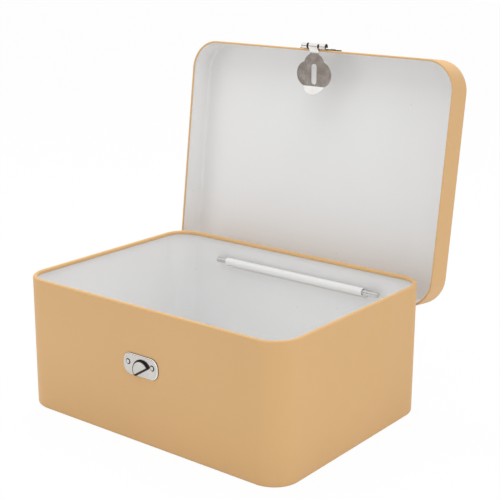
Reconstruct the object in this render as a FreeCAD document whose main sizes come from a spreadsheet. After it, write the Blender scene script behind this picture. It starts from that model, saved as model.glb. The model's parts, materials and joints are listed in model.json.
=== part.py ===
# Tin money box with a hinged lid, a slotted hasp and a turn knob. Millimetres.
# +Z is up, the front faces -Y, and the origin is the middle of the base's underside.
# The lid stands open against the back wall and the hasp hangs plumb from the lid's front.
import FreeCAD, Part
import math
import os
import Sketcher

# Driving dimensions: alias, value, meaning
SIZES = (
    ("sheet_gauge", "0.4", "sheet of the box, the base and the lid"),
    ("body_width", "220", "outside width of the box"),
    ("body_depth", "164", "outside depth of the box"),
    ("body_height", "93", "height of the box to the top of its rim"),
    ("corner_radius", "19", "upright corners of the box, outside"),
    ("rim_curl_radius", "1.5", "rolled rim of the box, outside"),
    ("foot_radius", "2.5", "bend between wall and lip, outside"),
    ("foot_lip_width", "8", "lip turned in under the wall, from the outside"),
    ("base_edge_gap", "0.3", "base panel's edge to the bend, and its dish to the lip"),
    ("lid_height", "21", "lid from its rim to its top"),
    ("lid_gap", "0.9", "lid's rolled rim to the wall, at the sides"),
    ("lid_forward", "0.5", "lid's middle ahead of the box's middle, room for its swing"),
    ("lid_rest_gap", "0.3", "box's rim to the lid's inside when shut"),
    ("lid_curl_radius", "0.7", "rolled rim of the lid, outside"),
    ("lid_edge_radius", "3", "rounded edge round the lid's top, outside"),
    ("lid_open_angle", "97", "how far the lid stands open"),
    ("hinge_inset", "0.2", "hinge axis inside the back wall's outer face"),
    ("hinge_drop", "0.65", "hinge axis below the lid's rim when shut"),
    ("tongue_length", "126", "rolled tongue along the hinge"),
    ("tongue_slope", "31", "tongue below level where it crosses the slot, lid shut"),
    ("tongue_reach", "5.4", "hinge axis to the start of the roll"),
    ("tongue_bend_radius", "0.8", "bend between skirt and tongue, inside"),
    ("tongue_root", "0.8", "straight skirt left under the rim's cut, above the bend"),
    ("roll_radius", "2.75", "rolled tongue, outside"),
    ("roll_turn", "305", "how far the tongue is rolled round"),
    ("curl_cut_gap", "1.2", "end of the lid's rolled rim to the tongue"),
    ("slot_height", "3.4", "slot in the back wall"),
    ("slot_end_gap", "1", "tongue's end to the slot's end"),
    ("wire_radius", "2", "hinge wire"),
    ("wire_overhang", "9", "wire past each end of the roll"),
    ("hasp_drop", "18.3", "hasp pin to the middle of the hasp, and to the knob's axis with the lid shut"),
    ("knob_plate_width", "29.5", "plate under the knob"),
    ("knob_plate_height", "14.5", "plate under the knob"),
    ("knob_plate_corner", "6", "rounded corners of that plate"),
    ("knob_plate_gauge", "1", "thickness of that plate"),
    ("knob_plate_bevel", "0.6", "bevelled edge of that plate"),
    ("rivet_spacing", "20.5", "between the two rivets of a plate"),
    ("rivet_head_radius", "2", "rivet head"),
    ("rivet_shoulder_radius", "1.7", "rivet head, half way up"),
    ("rivet_crown_radius", "1", "flat crown of the rivet head"),
    ("rivet_head_height", "0.4", "rivet head"),
    ("rivet_shank_radius", "1.2", "rivet shank, a tight fit in its hole"),
    ("rivet_tail_radius", "1.9", "rivet tail inside the sheet"),
    ("rivet_tail_height", "0.5", "rivet tail inside the sheet"),
    ("stem_radius", "1.5", "knob's stem"),
    ("running_clearance", "0.06", "stem and pin in their holes, on the radius"),
    ("stem_wall_clearance", "0.7", "stem to its hole in the wall"),
    ("knob_play", "0.1", "collar to plate, and washer to wall"),
    ("collar_radius", "4.6", "knob's round collar"),
    ("collar_height", "0.4", "knob's round collar"),
    ("hasp_room", "1.5", "between collar and blade, for the hasp"),
    ("blade_length", "14.2", "knob's blade, along the slot"),
    ("blade_rise", "3.6", "knob's blade, from its lower edge to its crown"),
    ("blade_thickness", "3.4", "knob's blade, through the slot"),
    ("blade_bevel", "0.9", "bevelled crown of the blade"),
    ("knob_rest_angle", "49", "blade's lean to the right of upright"),
    ("washer_radius", "4", "washer behind the wall"),
    ("washer_gauge", "0.6", "washer behind the wall"),
    ("stem_tail_radius", "2.5", "spread end of the stem"),
    ("stem_tail_height", "0.7", "spread end of the stem"),
    ("hasp_gauge", "0.8", "sheet of the hasp and its plate"),
    ("pin_radius", "1.3", "hasp pin"),
    ("pin_recess", "0.7", "pin's end inside the outer knuckle"),
    ("pin_drop", "1.4", "hasp pin below the lid's rim, lid shut"),
    ("leaf_seat_gap", "0.05", "hasp plate to the lid's paint"),
    ("knuckle_turn", "290", "how far a knuckle is rolled round"),
    ("knuckle_length", "5.6", "each outer knuckle"),
    ("knuckle_gap", "0.5", "between knuckles"),
    ("hasp_plate_width", "29.5", "plate on the lid"),
    ("hasp_plate_height", "14.5", "pin to the top of that plate"),
    ("hasp_plate_corner", "2", "rounded corners of that plate"),
    ("hasp_rivet_rise", "8.8", "pin to that plate's rivets"),
    ("notch_clearance", "0.4", "plate's notch to the middle knuckle"),
    ("neck_width", "8.2", "hasp's neck and middle knuckle"),
    ("joggle_start", "4.6", "pin to the step in the hasp"),
    ("joggle_end", "8.2", "pin to the end of that step"),
    ("joggle_depth", "4.5", "step towards the box"),
    ("lobe_radius", "9.25", "each lobe of the hasp"),
    ("lobe_offset", "5.75", "lobe's centre from the middle"),
    ("tab_angle", "45", "finger tab bent out"),
    ("hasp_slot_width", "3.8", "slot over the knob"),
    ("hasp_slot_length", "14.6", "slot over the knob"),
)

doc = FreeCAD.newDocument("tin_money_box")
sheet = doc.addObject("Spreadsheet::Sheet", "Tin")
for row, (alias, number, meaning) in enumerate(SIZES, start=1):
    sheet.set(f"A{row}", alias)
    sheet.set(f"B{row}", number)
    sheet.set(f"C{row}", meaning)
    sheet.setAlias(f"B{row}", alias)
doc.recompute()

# Places worked out from the sheet, as expressions
HALF_WIDTH = "(Tin.body_width / 2)"
HALF_DEPTH = "(Tin.body_depth / 2)"
GAUGE = "Tin.sheet_gauge"
RIM_CENTRE = "(Tin.body_height - Tin.rim_curl_radius)"
LID_OVERHANG = "(Tin.lid_gap + 2 * Tin.lid_curl_radius)"
LID_HALF_WIDTH = f"({HALF_WIDTH} + {LID_OVERHANG})"
LID_HALF_DEPTH = f"({HALF_DEPTH} + {LID_OVERHANG})"
LID_CORNER = f"(Tin.corner_radius + {LID_OVERHANG})"
LID_TOP = f"(Tin.body_height + Tin.lid_rest_gap + {GAUGE})"
LID_RIM = f"({LID_TOP} - Tin.lid_height)"
LID_CURL_CENTRE = f"({LID_RIM} + Tin.lid_curl_radius)"
LID_BACK = f"({LID_HALF_DEPTH} - Tin.lid_forward)"
LID_FRONT = f"(-{LID_HALF_DEPTH} - Tin.lid_forward)"
HINGE_Y = f"({HALF_DEPTH} - Tin.hinge_inset)"
HINGE_Z = f"({LID_RIM} - Tin.hinge_drop)"
HALF_TONGUE = "(Tin.tongue_length / 2)"
BORE_RADIUS = "(Tin.pin_radius + Tin.running_clearance)"
KNUCKLE_RADIUS = f"({BORE_RADIUS} + Tin.hasp_gauge)"
HASP_PLATE_BACK = f"({LID_FRONT} - Tin.leaf_seat_gap)"
PIN_Y = f"({HASP_PLATE_BACK} - {KNUCKLE_RADIUS})"
PIN_Z = f"({LID_RIM} - Tin.pin_drop)"
KNOB_HEIGHT = f"({PIN_Z} - Tin.hasp_drop)"
KNUCKLE_START = "(Tin.neck_width / 2 + Tin.knuckle_gap)"
KNUCKLE_END = f"({KNUCKLE_START} + Tin.knuckle_length)"
HALF_RIVETS = "(Tin.rivet_spacing / 2)"
LID_PLACEMENT = (
    "placement(vector(0; 0; 0); rotation(vector(1; 0; 0); -Tin.lid_open_angle); "
    f"vector(0; {HINGE_Y}; {HINGE_Z}))"
)
EDGE_TOLERANCE = 1e-4
# Flats in a quarter bend, and in a rolled rim of three quarters
BEND_FLATS = 3
ROLL_FLATS = 6


def number(expression):
    """The value of an expression of sheet cells."""
    return float(sheet.evalExpression(expression))


def polar(centre, radius, angle):
    """A point at a radius and angle (degrees) from a centre, as two expressions."""
    x, y = centre
    return (f"({x} + ({radius}) * cos({angle}))", f"({y} + ({radius}) * sin({angle}))")


TONGUE_SLOPE = "Tin.tongue_slope"
ROLL_START = polar((HINGE_Y, HINGE_Z), "Tin.tongue_reach", f"180 + {TONGUE_SLOPE}")
ROLL_CENTRE = polar(ROLL_START, f"(Tin.roll_radius - {GAUGE} / 2)", f"{TONGUE_SLOPE} - 90")


def origin_plane(body, role):
    return next(feature for feature in body.Origin.OriginFeatures if feature.Role == role)


def sketch_on(body, name, role, offset=None):
    """An empty sketch on one of a body's origin planes, moved along the plane's normal."""
    sketch = body.newObject("Sketcher::SketchObject", name)
    sketch.AttachmentSupport = [(origin_plane(body, role), "")]
    sketch.MapMode = "FlatFace"
    if offset is not None:
        sketch.setExpression(".AttachmentOffset.Base.z", offset)
    return sketch


def bind(sketch, constraint, expression):
    index = sketch.addConstraint(constraint)
    sketch.setExpression(f"Constraints[{index}]", expression)


def hold_coordinate(sketch, edge, end, kind, axis, expression):
    """Bind one coordinate of a point to its expression."""
    distance = number(expression)
    if abs(distance) < EDGE_TOLERANCE:
        sketch.addConstraint(Sketcher.Constraint("PointOnObject", edge, end, axis))
    elif distance > 0:
        bind(sketch, Sketcher.Constraint(kind, -1, 1, edge, end, distance), expression)
    else:
        bind(sketch, Sketcher.Constraint(kind, edge, end, -1, 1, -distance), f"-({expression})")


def hold_x(sketch, edge, end, expression):
    hold_coordinate(sketch, edge, end, "DistanceX", -2, expression)


def hold_y(sketch, edge, end, expression):
    hold_coordinate(sketch, edge, end, "DistanceY", -1, expression)


def line():
    return None


def arc(radius, centre, clockwise=False):
    return (radius, centre, clockwise)


def outline(sketch, stretches):
    """A closed outline: each stretch is its start point and the line or arc to the next one's start."""
    count = len(stretches)
    points = [FreeCAD.Vector(number(x), number(y), 0) for (x, y), shape in stretches]
    ends = []
    for index, (point, shape) in enumerate(stretches):
        start = points[index]
        finish = points[(index + 1) % count]
        if shape is None:
            edge = sketch.addGeometry(Part.LineSegment(start, finish), False)
            ends.append((edge, 1, 2))
            continue
        radius, centre, clockwise = shape
        middle = FreeCAD.Vector(number(centre[0]), number(centre[1]), 0)
        first, last = (finish, start) if clockwise else (start, finish)
        angle_first = math.atan2(first.y - middle.y, first.x - middle.x)
        angle_last = math.atan2(last.y - middle.y, last.x - middle.x)
        if angle_last <= angle_first:
            angle_last += 2 * math.pi
        circle = Part.Circle(middle, FreeCAD.Vector(0, 0, 1), number(radius))
        edge = sketch.addGeometry(Part.ArcOfCircle(circle, angle_first, angle_last), False)
        ends.append((edge, 2, 1) if clockwise else (edge, 1, 2))
    for index, (edge, start, finish) in enumerate(ends):
        next_edge, next_start, next_finish = ends[(index + 1) % count]
        sketch.addConstraint(Sketcher.Constraint("Coincident", edge, finish, next_edge, next_start))
    for index, ((edge, start, finish), (point, shape)) in enumerate(zip(ends, stretches)):
        hold_x(sketch, edge, start, point[0])
        hold_y(sketch, edge, start, point[1])
        if shape is None:
            continue
        chord = points[(index + 1) % count] - points[index]
        if abs(chord.y) >= abs(chord.x):
            hold_x(sketch, edge, 3, shape[1][0])
        else:
            hold_y(sketch, edge, 3, shape[1][1])


def sketch_axis(sketch, place):
    """An upright construction line at a place along the sketch, and the name it is referred to by."""
    x = number(place)
    ends = (FreeCAD.Vector(x, 0, 0), FreeCAD.Vector(x, number("Tin.body_height"), 0))
    edge = sketch.addGeometry(Part.LineSegment(*ends), True)
    hold_x(sketch, edge, 1, place)
    hold_y(sketch, edge, 1, "0")
    hold_x(sketch, edge, 2, place)
    hold_y(sketch, edge, 2, "Tin.body_height")
    return "Axis0"


def circle_at(sketch, centre, radius):
    middle = FreeCAD.Vector(number(centre[0]), number(centre[1]), 0)
    shape = Part.Circle(middle, FreeCAD.Vector(0, 0, 1), number(radius))
    edge = sketch.addGeometry(shape, False)
    hold_x(sketch, edge, 3, centre[0])
    hold_y(sketch, edge, 3, centre[1])
    bind(sketch, Sketcher.Constraint("Radius", edge, number(radius)), radius)


def rounded_rectangle(sketch, half_x, half_y, corner, middle=("0", "0")):
    """A rounded rectangle that starts at the middle of its far side and runs clockwise."""
    x, y = middle
    left, right = f"({x} - {half_x})", f"({x} + {half_x})"
    near, far = f"({y} - {half_y})", f"({y} + {half_y})"
    inner_left, inner_right = f"({left} + {corner})", f"({right} - {corner})"
    inner_near, inner_far = f"({near} + {corner})", f"({far} - {corner})"
    outline(sketch, [
        ((x, far), line()),
        ((inner_right, far), arc(corner, (inner_right, inner_far), True)),
        ((right, inner_far), line()),
        ((right, inner_near), arc(corner, (inner_right, inner_near), True)),
        ((inner_right, near), line()),
        ((inner_left, near), arc(corner, (inner_left, inner_near), True)),
        ((left, inner_near), line()),
        ((left, inner_far), arc(corner, (inner_left, inner_far), True)),
        ((inner_left, far), line()),
    ])


def stadium(sketch, half_x, half_y, middle, upright=False):
    """A slot with round ends: half_x and half_y are its half sizes overall."""
    x, y = middle
    if upright:
        low, high = f"({y} - {half_y} + {half_x})", f"({y} + {half_y} - {half_x})"
        left, right = f"({x} - {half_x})", f"({x} + {half_x})"
        outline(sketch, [
            ((left, low), arc(half_x, (x, low))),
            ((right, low), line()),
            ((right, high), arc(half_x, (x, high))),
            ((left, high), line()),
        ])
        return
    left, right = f"({x} - {half_x} + {half_y})", f"({x} + {half_x} - {half_y})"
    low, high = f"({y} - {half_y})", f"({y} + {half_y})"
    outline(sketch, [
        ((left, low), line()),
        ((right, low), arc(half_y, (right, y))),
        ((right, high), line()),
        ((left, high), arc(half_y, (left, y))),
    ])


def pad(body, sketch, length, backwards=False, both_ways=False):
    feature = body.newObject("PartDesign::Pad", sketch.Name + "_pad")
    feature.Profile = sketch
    feature.setExpression("Length", length)
    feature.Reversed = backwards
    feature.SideType = "Symmetric" if both_ways else "One side"
    doc.recompute()
    return feature


def pocket(body, sketch, length=None, backwards=False):
    """A cut from a sketch, to a length, or right through both ways."""
    before = body.Shape.Volume
    feature = body.newObject("PartDesign::Pocket", sketch.Name + "_cut")
    feature.Profile = sketch
    feature.Reversed = backwards
    if length is None:
        feature.Type = "ThroughAll"
        feature.SideType = "Symmetric"
    else:
        feature.setExpression("Length", length)
    doc.recompute()
    if not body.Shape.Volume < before:
        raise RuntimeError(f"{feature.Name} cuts nothing")
    return feature


def edges_at(shape, axis, place):
    """Names of the edges that lie in a plane across one axis."""
    names = []
    for index, edge in enumerate(shape.Edges, start=1):
        box = edge.BoundBox
        low = getattr(box, axis + "Min")
        high = getattr(box, axis + "Max")
        if abs(low - place) < EDGE_TOLERANCE and abs(high - place) < EDGE_TOLERANCE:
            names.append(f"Edge{index}")
    return names


def dress(body, kind, base, edges, size, expression):
    """A fillet or chamfer on named edges of a feature."""
    feature = body.newObject("PartDesign::" + kind, base.Name + "_" + kind.lower())
    feature.Base = (base, edges)
    feature.setExpression(size, expression)
    doc.recompute()
    return feature


def new_body(name):
    body = doc.addObject("PartDesign::Body", name)
    body.Label = name
    return body


def mirror_all(body, name, plane):
    feature = body.newObject("PartDesign::Mirrored", name)
    feature.TransformMode = "Whole shape"
    feature.MirrorPlane = (plane, [""])
    body.Tip = feature
    doc.recompute()


def sheet_ring(body, name, half_x, half_y, corner, middle_y, draw_section):
    """A sheet section carried round a rounded rectangle: a quarter is drawn and mirrored both ways."""
    corner_x = f"({half_x} - {corner})"
    corner_y = f"({middle_y} + {half_y} - {corner})"
    back = sketch_on(body, name + "_back", "YZ_Plane", corner_x)
    draw_section(back, f"({middle_y} + {half_y})")
    axis = sketch_axis(back, corner_y)
    pad(body, back, corner_x, backwards=True)
    bend = body.newObject("PartDesign::Revolution", name + "_corner")
    bend.Profile = back
    bend.ReferenceAxis = (back, [axis])
    bend.Angle = 90
    bend.Reversed = True
    side = sketch_on(body, name + "_side", "XZ_Plane", f"-{corner_y}")
    draw_section(side, half_x)
    pad(body, side, f"({half_y} - {corner})")
    middle = body.newObject("PartDesign::Plane", name + "_middle")
    middle.AttachmentSupport = [(origin_plane(body, "XZ_Plane"), "")]
    middle.MapMode = "FlatFace"
    middle.setExpression(".AttachmentOffset.Base.z", f"-{middle_y}")
    mirror_all(body, name + "_left", origin_plane(body, "YZ_Plane"))
    mirror_all(body, name + "_front", middle)


def flats(centre, radius, first, last, count):
    """A bend drawn in short flats, so that its corners stay light: the stretches after its first point."""
    angles = [first + (last - first) * step / count for step in range(count + 1)]
    return [(polar(centre, radius, f"({angle})"), line()) for angle in angles]


def wall_section(sketch, face):
    """Box wall: lip, foot bend, upright wall and rolled rim, outside face first."""
    foot = "Tin.foot_radius"
    rim = "Tin.rim_curl_radius"
    lip_end = f"({face} - Tin.foot_lip_width)"
    foot_centre = (f"({face} - {foot})", foot)
    rim_centre = (f"({face} - {rim})", RIM_CENTRE)
    outline(sketch, [
        ((lip_end, "0"), line()),
        *flats(foot_centre, foot, -90, 0, BEND_FLATS),
        *flats(rim_centre, rim, 0, 270, ROLL_FLATS),
        *flats(rim_centre, f"({rim} - {GAUGE})", 270, 0, ROLL_FLATS),
        *flats(foot_centre, f"({foot} - {GAUGE})", 0, -90, BEND_FLATS),
        ((lip_end, GAUGE), line()),
    ])


def lid_section(sketch, face):
    """Lid wall: rounded top edge, skirt and rolled rim, outside face first."""
    edge = "Tin.lid_edge_radius"
    rim = "Tin.lid_curl_radius"
    edge_centre = (f"({face} - {edge})", f"({LID_TOP} - {edge})")
    rim_centre = (f"({face} - {rim})", LID_CURL_CENTRE)
    outline(sketch, [
        *flats(edge_centre, edge, 90, 0, BEND_FLATS),
        *flats(rim_centre, rim, 0, -270, ROLL_FLATS),
        *flats(rim_centre, f"({rim} - {GAUGE})", -270, 0, ROLL_FLATS),
        *flats(edge_centre, f"({edge} - {GAUGE})", 0, 90, BEND_FLATS),
    ])


def front_holes(body, name, plane_y, depth, height, stem=None):
    """Round holes through a front sheet for a plate's rivets and, if asked, the knob's stem."""
    holes = sketch_on(body, name, "XZ_Plane", f"-({plane_y})")
    for side in ("-", ""):
        circle_at(holes, (f"{side}{HALF_RIVETS}", height), "Tin.rivet_shank_radius")
    if stem is not None:
        circle_at(holes, ("0", height), stem)
    return pocket(body, holes, depth)


def make_body_wall():
    """The box's wall: drawn, rolled at the rim, turned in at the foot, slotted for the hinge."""
    body = new_body("body_wall")
    sheet_ring(body, "wall", HALF_WIDTH, HALF_DEPTH, "Tin.corner_radius", "0", wall_section)
    slot = sketch_on(body, "hinge_slot", "XZ_Plane", f"-({HALF_DEPTH} - 2 * {GAUGE})")
    stadium(slot, f"({HALF_TONGUE} + Tin.slot_end_gap)", "(Tin.slot_height / 2)", ("0", HINGE_Z))
    pocket(body, slot, f"4 * {GAUGE}")
    front_holes(
        body, "front_holes", f"(-{HALF_DEPTH} - {GAUGE})", f"4 * {GAUGE}", KNOB_HEIGHT,
        stem="(Tin.stem_radius + Tin.stem_wall_clearance)",
    )
    return body


def make_base_panel():
    """The base: its edge lies on the lip, and its dished field is flush with the lip's underside."""
    body = new_body("base_panel")
    edge = "(Tin.foot_radius + Tin.base_edge_gap)"
    field = "(Tin.foot_lip_width + Tin.base_edge_gap)"
    flange = sketch_on(body, "flange", "XY_Plane", GAUGE)
    rounded_rectangle(
        flange, f"({HALF_WIDTH} - {edge})", f"({HALF_DEPTH} - {edge})", f"(Tin.corner_radius - {edge})"
    )
    pad(body, flange, GAUGE)
    dish = sketch_on(body, "dish", "XY_Plane")
    rounded_rectangle(
        dish, f"({HALF_WIDTH} - {field})", f"({HALF_DEPTH} - {field})", f"(Tin.corner_radius - {field})"
    )
    pad(body, dish, f"2 * {GAUGE}")
    hollow = sketch_on(body, "dish_hollow", "XY_Plane", f"2 * {GAUGE}")
    inset = f"({field} + {GAUGE})"
    rounded_rectangle(
        hollow, f"({HALF_WIDTH} - {inset})", f"({HALF_DEPTH} - {inset})", f"(Tin.corner_radius - {inset})"
    )
    pocket(body, hollow, GAUGE)
    return body


def tongue_outline(sketch, root):
    """Section of the tongue, lid shut: down from the skirt, in through the slot, rolled under."""
    slope = TONGUE_SLOPE
    bend = "Tin.tongue_bend_radius"
    outer_roll = "Tin.roll_radius"
    inner_roll = f"({outer_roll} - {GAUGE})"
    bend_y = f"({LID_BACK} - {GAUGE} - {bend})"
    bend_z = (
        f"({HINGE_Z} + ({bend_y} - {HINGE_Y}) * tan({slope}) + ({bend} + {GAUGE} / 2) / cos({slope}))"
    )
    bend_centre = (bend_y, bend_z)
    into_roll = f"90 + {slope}"
    roll_end = f"90 + {slope} + Tin.roll_turn"
    outline(sketch, [
        ((LID_BACK, root), line()),
        ((LID_BACK, bend_z), arc(f"({bend} + {GAUGE})", bend_centre, clockwise=True)),
        (polar(bend_centre, f"{bend} + {GAUGE}", f"{slope} - 90"), line()),
        (polar(ROLL_CENTRE, inner_roll, into_roll), arc(inner_roll, ROLL_CENTRE)),
        (polar(ROLL_CENTRE, inner_roll, roll_end), line()),
        (polar(ROLL_CENTRE, outer_roll, roll_end), arc(outer_roll, ROLL_CENTRE, clockwise=True)),
        (polar(ROLL_CENTRE, outer_roll, into_roll), line()),
        (polar(bend_centre, bend, f"{slope} - 90"), arc(bend, bend_centre)),
        ((f"({LID_BACK} - {GAUGE})", bend_z), line()),
        ((f"({LID_BACK} - {GAUGE})", root), line()),
    ])


def make_lid_shell():
    """The lid: drawn like the box, with the middle of its back rim drawn out into the rolled tongue."""
    body = new_body("lid_shell")
    middle = "(-Tin.lid_forward)"
    sheet_ring(body, "skirt", LID_HALF_WIDTH, LID_HALF_DEPTH, LID_CORNER, middle, lid_section)
    edge = "Tin.lid_edge_radius"
    panel = sketch_on(body, "lid_panel", "XY_Plane", f"({LID_TOP} - {GAUGE})")
    rounded_rectangle(
        panel, f"({LID_HALF_WIDTH} - {edge})", f"({LID_HALF_DEPTH} - {edge})", f"({LID_CORNER} - {edge})",
        ("0", middle),
    )
    pad(body, panel, GAUGE)
    root = f"({LID_CURL_CENTRE} + Tin.lid_curl_radius + Tin.tongue_root)"
    curl_cut = sketch_on(body, "curl_cut", "YZ_Plane", f"-({HALF_TONGUE} + Tin.curl_cut_gap)")
    cut_back = f"({LID_BACK} + Tin.lid_curl_radius)"
    cut_front = f"({LID_BACK} - 3 * Tin.lid_curl_radius)"
    cut_low = f"({LID_RIM} - Tin.lid_curl_radius)"
    outline(curl_cut, [
        ((cut_front, cut_low), line()),
        ((cut_back, cut_low), line()),
        ((cut_back, root), line()),
        ((cut_front, root), line()),
    ])
    pocket(body, curl_cut, "(Tin.tongue_length + 2 * Tin.curl_cut_gap)", backwards=True)
    tongue = sketch_on(body, "tongue", "YZ_Plane")
    tongue_outline(tongue, root)
    pad(body, tongue, "Tin.tongue_length", both_ways=True)
    plate_height = f"({PIN_Z} + Tin.hasp_rivet_rise)"
    front_holes(body, "lid_holes", f"({LID_FRONT} - {GAUGE})", f"4 * {GAUGE}", plate_height)
    body.setExpression("Placement", LID_PLACEMENT)
    return body


def make_hinge_wire():
    """The straight wire that lies in the rolled tongue, its ends standing out."""
    body = new_body("hinge_wire")
    section = sketch_on(body, "wire_section", "YZ_Plane")
    circle_at(section, ROLL_CENTRE, "Tin.wire_radius")
    pad(body, section, "(Tin.tongue_length + 2 * Tin.wire_overhang)", both_ways=True)
    body.setExpression("Placement", LID_PLACEMENT)
    return body


def make_knob_plate():
    """The plate on the front wall, with its bevelled edge, stem hole and rivet holes."""
    body = new_body("knob_plate")
    face = sketch_on(body, "knob_plate_face", "XZ_Plane", HALF_DEPTH)
    rounded_rectangle(
        face, "(Tin.knob_plate_width / 2)", "(Tin.knob_plate_height / 2)", "Tin.knob_plate_corner",
        ("0", KNOB_HEIGHT),
    )
    for side in ("-", ""):
        circle_at(face, (f"{side}{HALF_RIVETS}", KNOB_HEIGHT), "Tin.rivet_shank_radius")
    circle_at(face, ("0", KNOB_HEIGHT), "(Tin.stem_radius + Tin.running_clearance)")
    plate = pad(body, face, "Tin.knob_plate_gauge")
    front = -number(f"{HALF_DEPTH} + Tin.knob_plate_gauge")
    rim = []
    for name in edges_at(plate.Shape, "Y", front):
        edge = plate.Shape.getElement(name)
        if not isinstance(edge.Curve, Part.Circle) or edge.Curve.Radius > number("Tin.collar_radius"):
            rim.append(name)
    dress(body, "Chamfer", plate, rim, "Size", "Tin.knob_plate_bevel")
    return body


def make_rivet_pair(name, face_y, height, grip):
    """Two rivets: low bevelled head on the plate's face, shank through the sheet, flat tail behind it."""
    body = new_body(name)
    body.AllowCompound = True
    rise = "Tin.rivet_head_height"
    shank = "Tin.rivet_shank_radius"
    tail = f"({face_y} + {grip})"
    tail_end = f"({tail} + Tin.rivet_tail_height)"
    crown = f"({face_y} - {rise})"
    axis_x = HALF_RIVETS
    section = sketch_on(body, name + "_section", "XY_Plane", height)
    outline(section, [
        ((axis_x, crown), line()),
        ((f"({axis_x} + Tin.rivet_crown_radius)", crown), line()),
        ((f"({axis_x} + Tin.rivet_shoulder_radius)", f"({face_y} - {rise} / 2)"), line()),
        ((f"({axis_x} + Tin.rivet_head_radius)", face_y), line()),
        ((f"({axis_x} + {shank})", face_y), line()),
        ((f"({axis_x} + {shank})", tail), line()),
        ((f"({axis_x} + Tin.rivet_tail_radius)", tail), line()),
        ((f"({axis_x} + Tin.rivet_tail_radius)", tail_end), line()),
        ((axis_x, tail_end), line()),
    ])
    doc.recompute()
    turned = body.newObject("PartDesign::Revolution", name + "_turned")
    turned.Profile = section
    turned.ReferenceAxis = (section, ["Edge9"])
    turned.Angle = 360
    doc.recompute()
    pair = body.newObject("PartDesign::Mirrored", name + "_pair")
    pair.Originals = [turned]
    pair.MirrorPlane = (origin_plane(body, "YZ_Plane"), [""])
    body.Tip = pair
    doc.recompute()
    return body


def make_turn_knob():
    """The knob: collar on the plate, stem through it, and a blade that the hasp's slot passes over."""
    body = new_body("turn_knob")
    plate_face = f"({HALF_DEPTH} + Tin.knob_plate_gauge)"
    collar_seat = f"({plate_face} + Tin.knob_play)"
    collar_face = f"({collar_seat} + Tin.collar_height)"
    blade_foot = f"({collar_face} + Tin.hasp_room)"
    half_blade = "(Tin.blade_length / 2)"
    rise = "Tin.blade_rise"
    crown_radius = f"(({half_blade} ^ 2 + {rise} ^ 2) / (2 * {rise}))"
    blade = sketch_on(body, "blade", "YZ_Plane")
    outline(blade, [
        ((f"-{blade_foot}", f"-{half_blade}"), line()),
        (
            (f"-{blade_foot}", half_blade),
            arc(crown_radius, (f"({crown_radius} - {rise} - {blade_foot})", "0")),
        ),
    ])
    solid = pad(body, blade, "Tin.blade_thickness", both_ways=True)
    crown = [
        f"Edge{index}" for index, edge in enumerate(solid.Shape.Edges, start=1)
        if isinstance(edge.Curve, Part.Circle)
    ]
    dress(body, "Chamfer", solid, crown, "Size", "Tin.blade_bevel")
    stem = sketch_on(body, "stem", "XZ_Plane", blade_foot)
    circle_at(stem, ("0", "0"), "Tin.stem_radius")
    wall_inside = f"({HALF_DEPTH} - {GAUGE})"
    washer_face = f"({wall_inside} - Tin.knob_play - Tin.washer_gauge)"
    pad(body, stem, f"({blade_foot} - {washer_face})", backwards=True)
    collar = sketch_on(body, "collar", "XZ_Plane", collar_seat)
    circle_at(collar, ("0", "0"), "Tin.collar_radius")
    pad(body, collar, "Tin.collar_height")
    spread = sketch_on(body, "stem_spread", "XZ_Plane", washer_face)
    circle_at(spread, ("0", "0"), "Tin.stem_tail_radius")
    pad(body, spread, "Tin.stem_tail_height", backwards=True)
    body.setExpression(
        "Placement",
        f"placement(vector(0; 0; {KNOB_HEIGHT}); rotation(vector(0; 1; 0); Tin.knob_rest_angle))",
    )
    return body


def make_knob_washer():
    """The washer on the stem, behind the front wall."""
    body = new_body("knob_washer")
    wall_inside = f"({HALF_DEPTH} - {GAUGE} - Tin.knob_play)"
    face = sketch_on(body, "washer_face", "XZ_Plane", wall_inside)
    centre = ("0", KNOB_HEIGHT)
    circle_at(face, centre, "Tin.washer_radius")
    circle_at(face, centre, "(Tin.stem_radius + Tin.running_clearance)")
    pad(body, face, "Tin.washer_gauge", backwards=True)
    return body


def trim_to(body, name, reach, stretches):
    """Cut away everything outside a front outline, as a blank is punched before it is rolled."""
    frame = sketch_on(body, name, "XZ_Plane")
    outline(frame, [
        ((f"-{reach}", f"-{reach}"), line()),
        ((reach, f"-{reach}"), line()),
        ((reach, reach), line()),
        ((f"-{reach}", reach), line()),
    ])
    outline(frame, stretches)
    pocket(body, frame)


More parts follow.
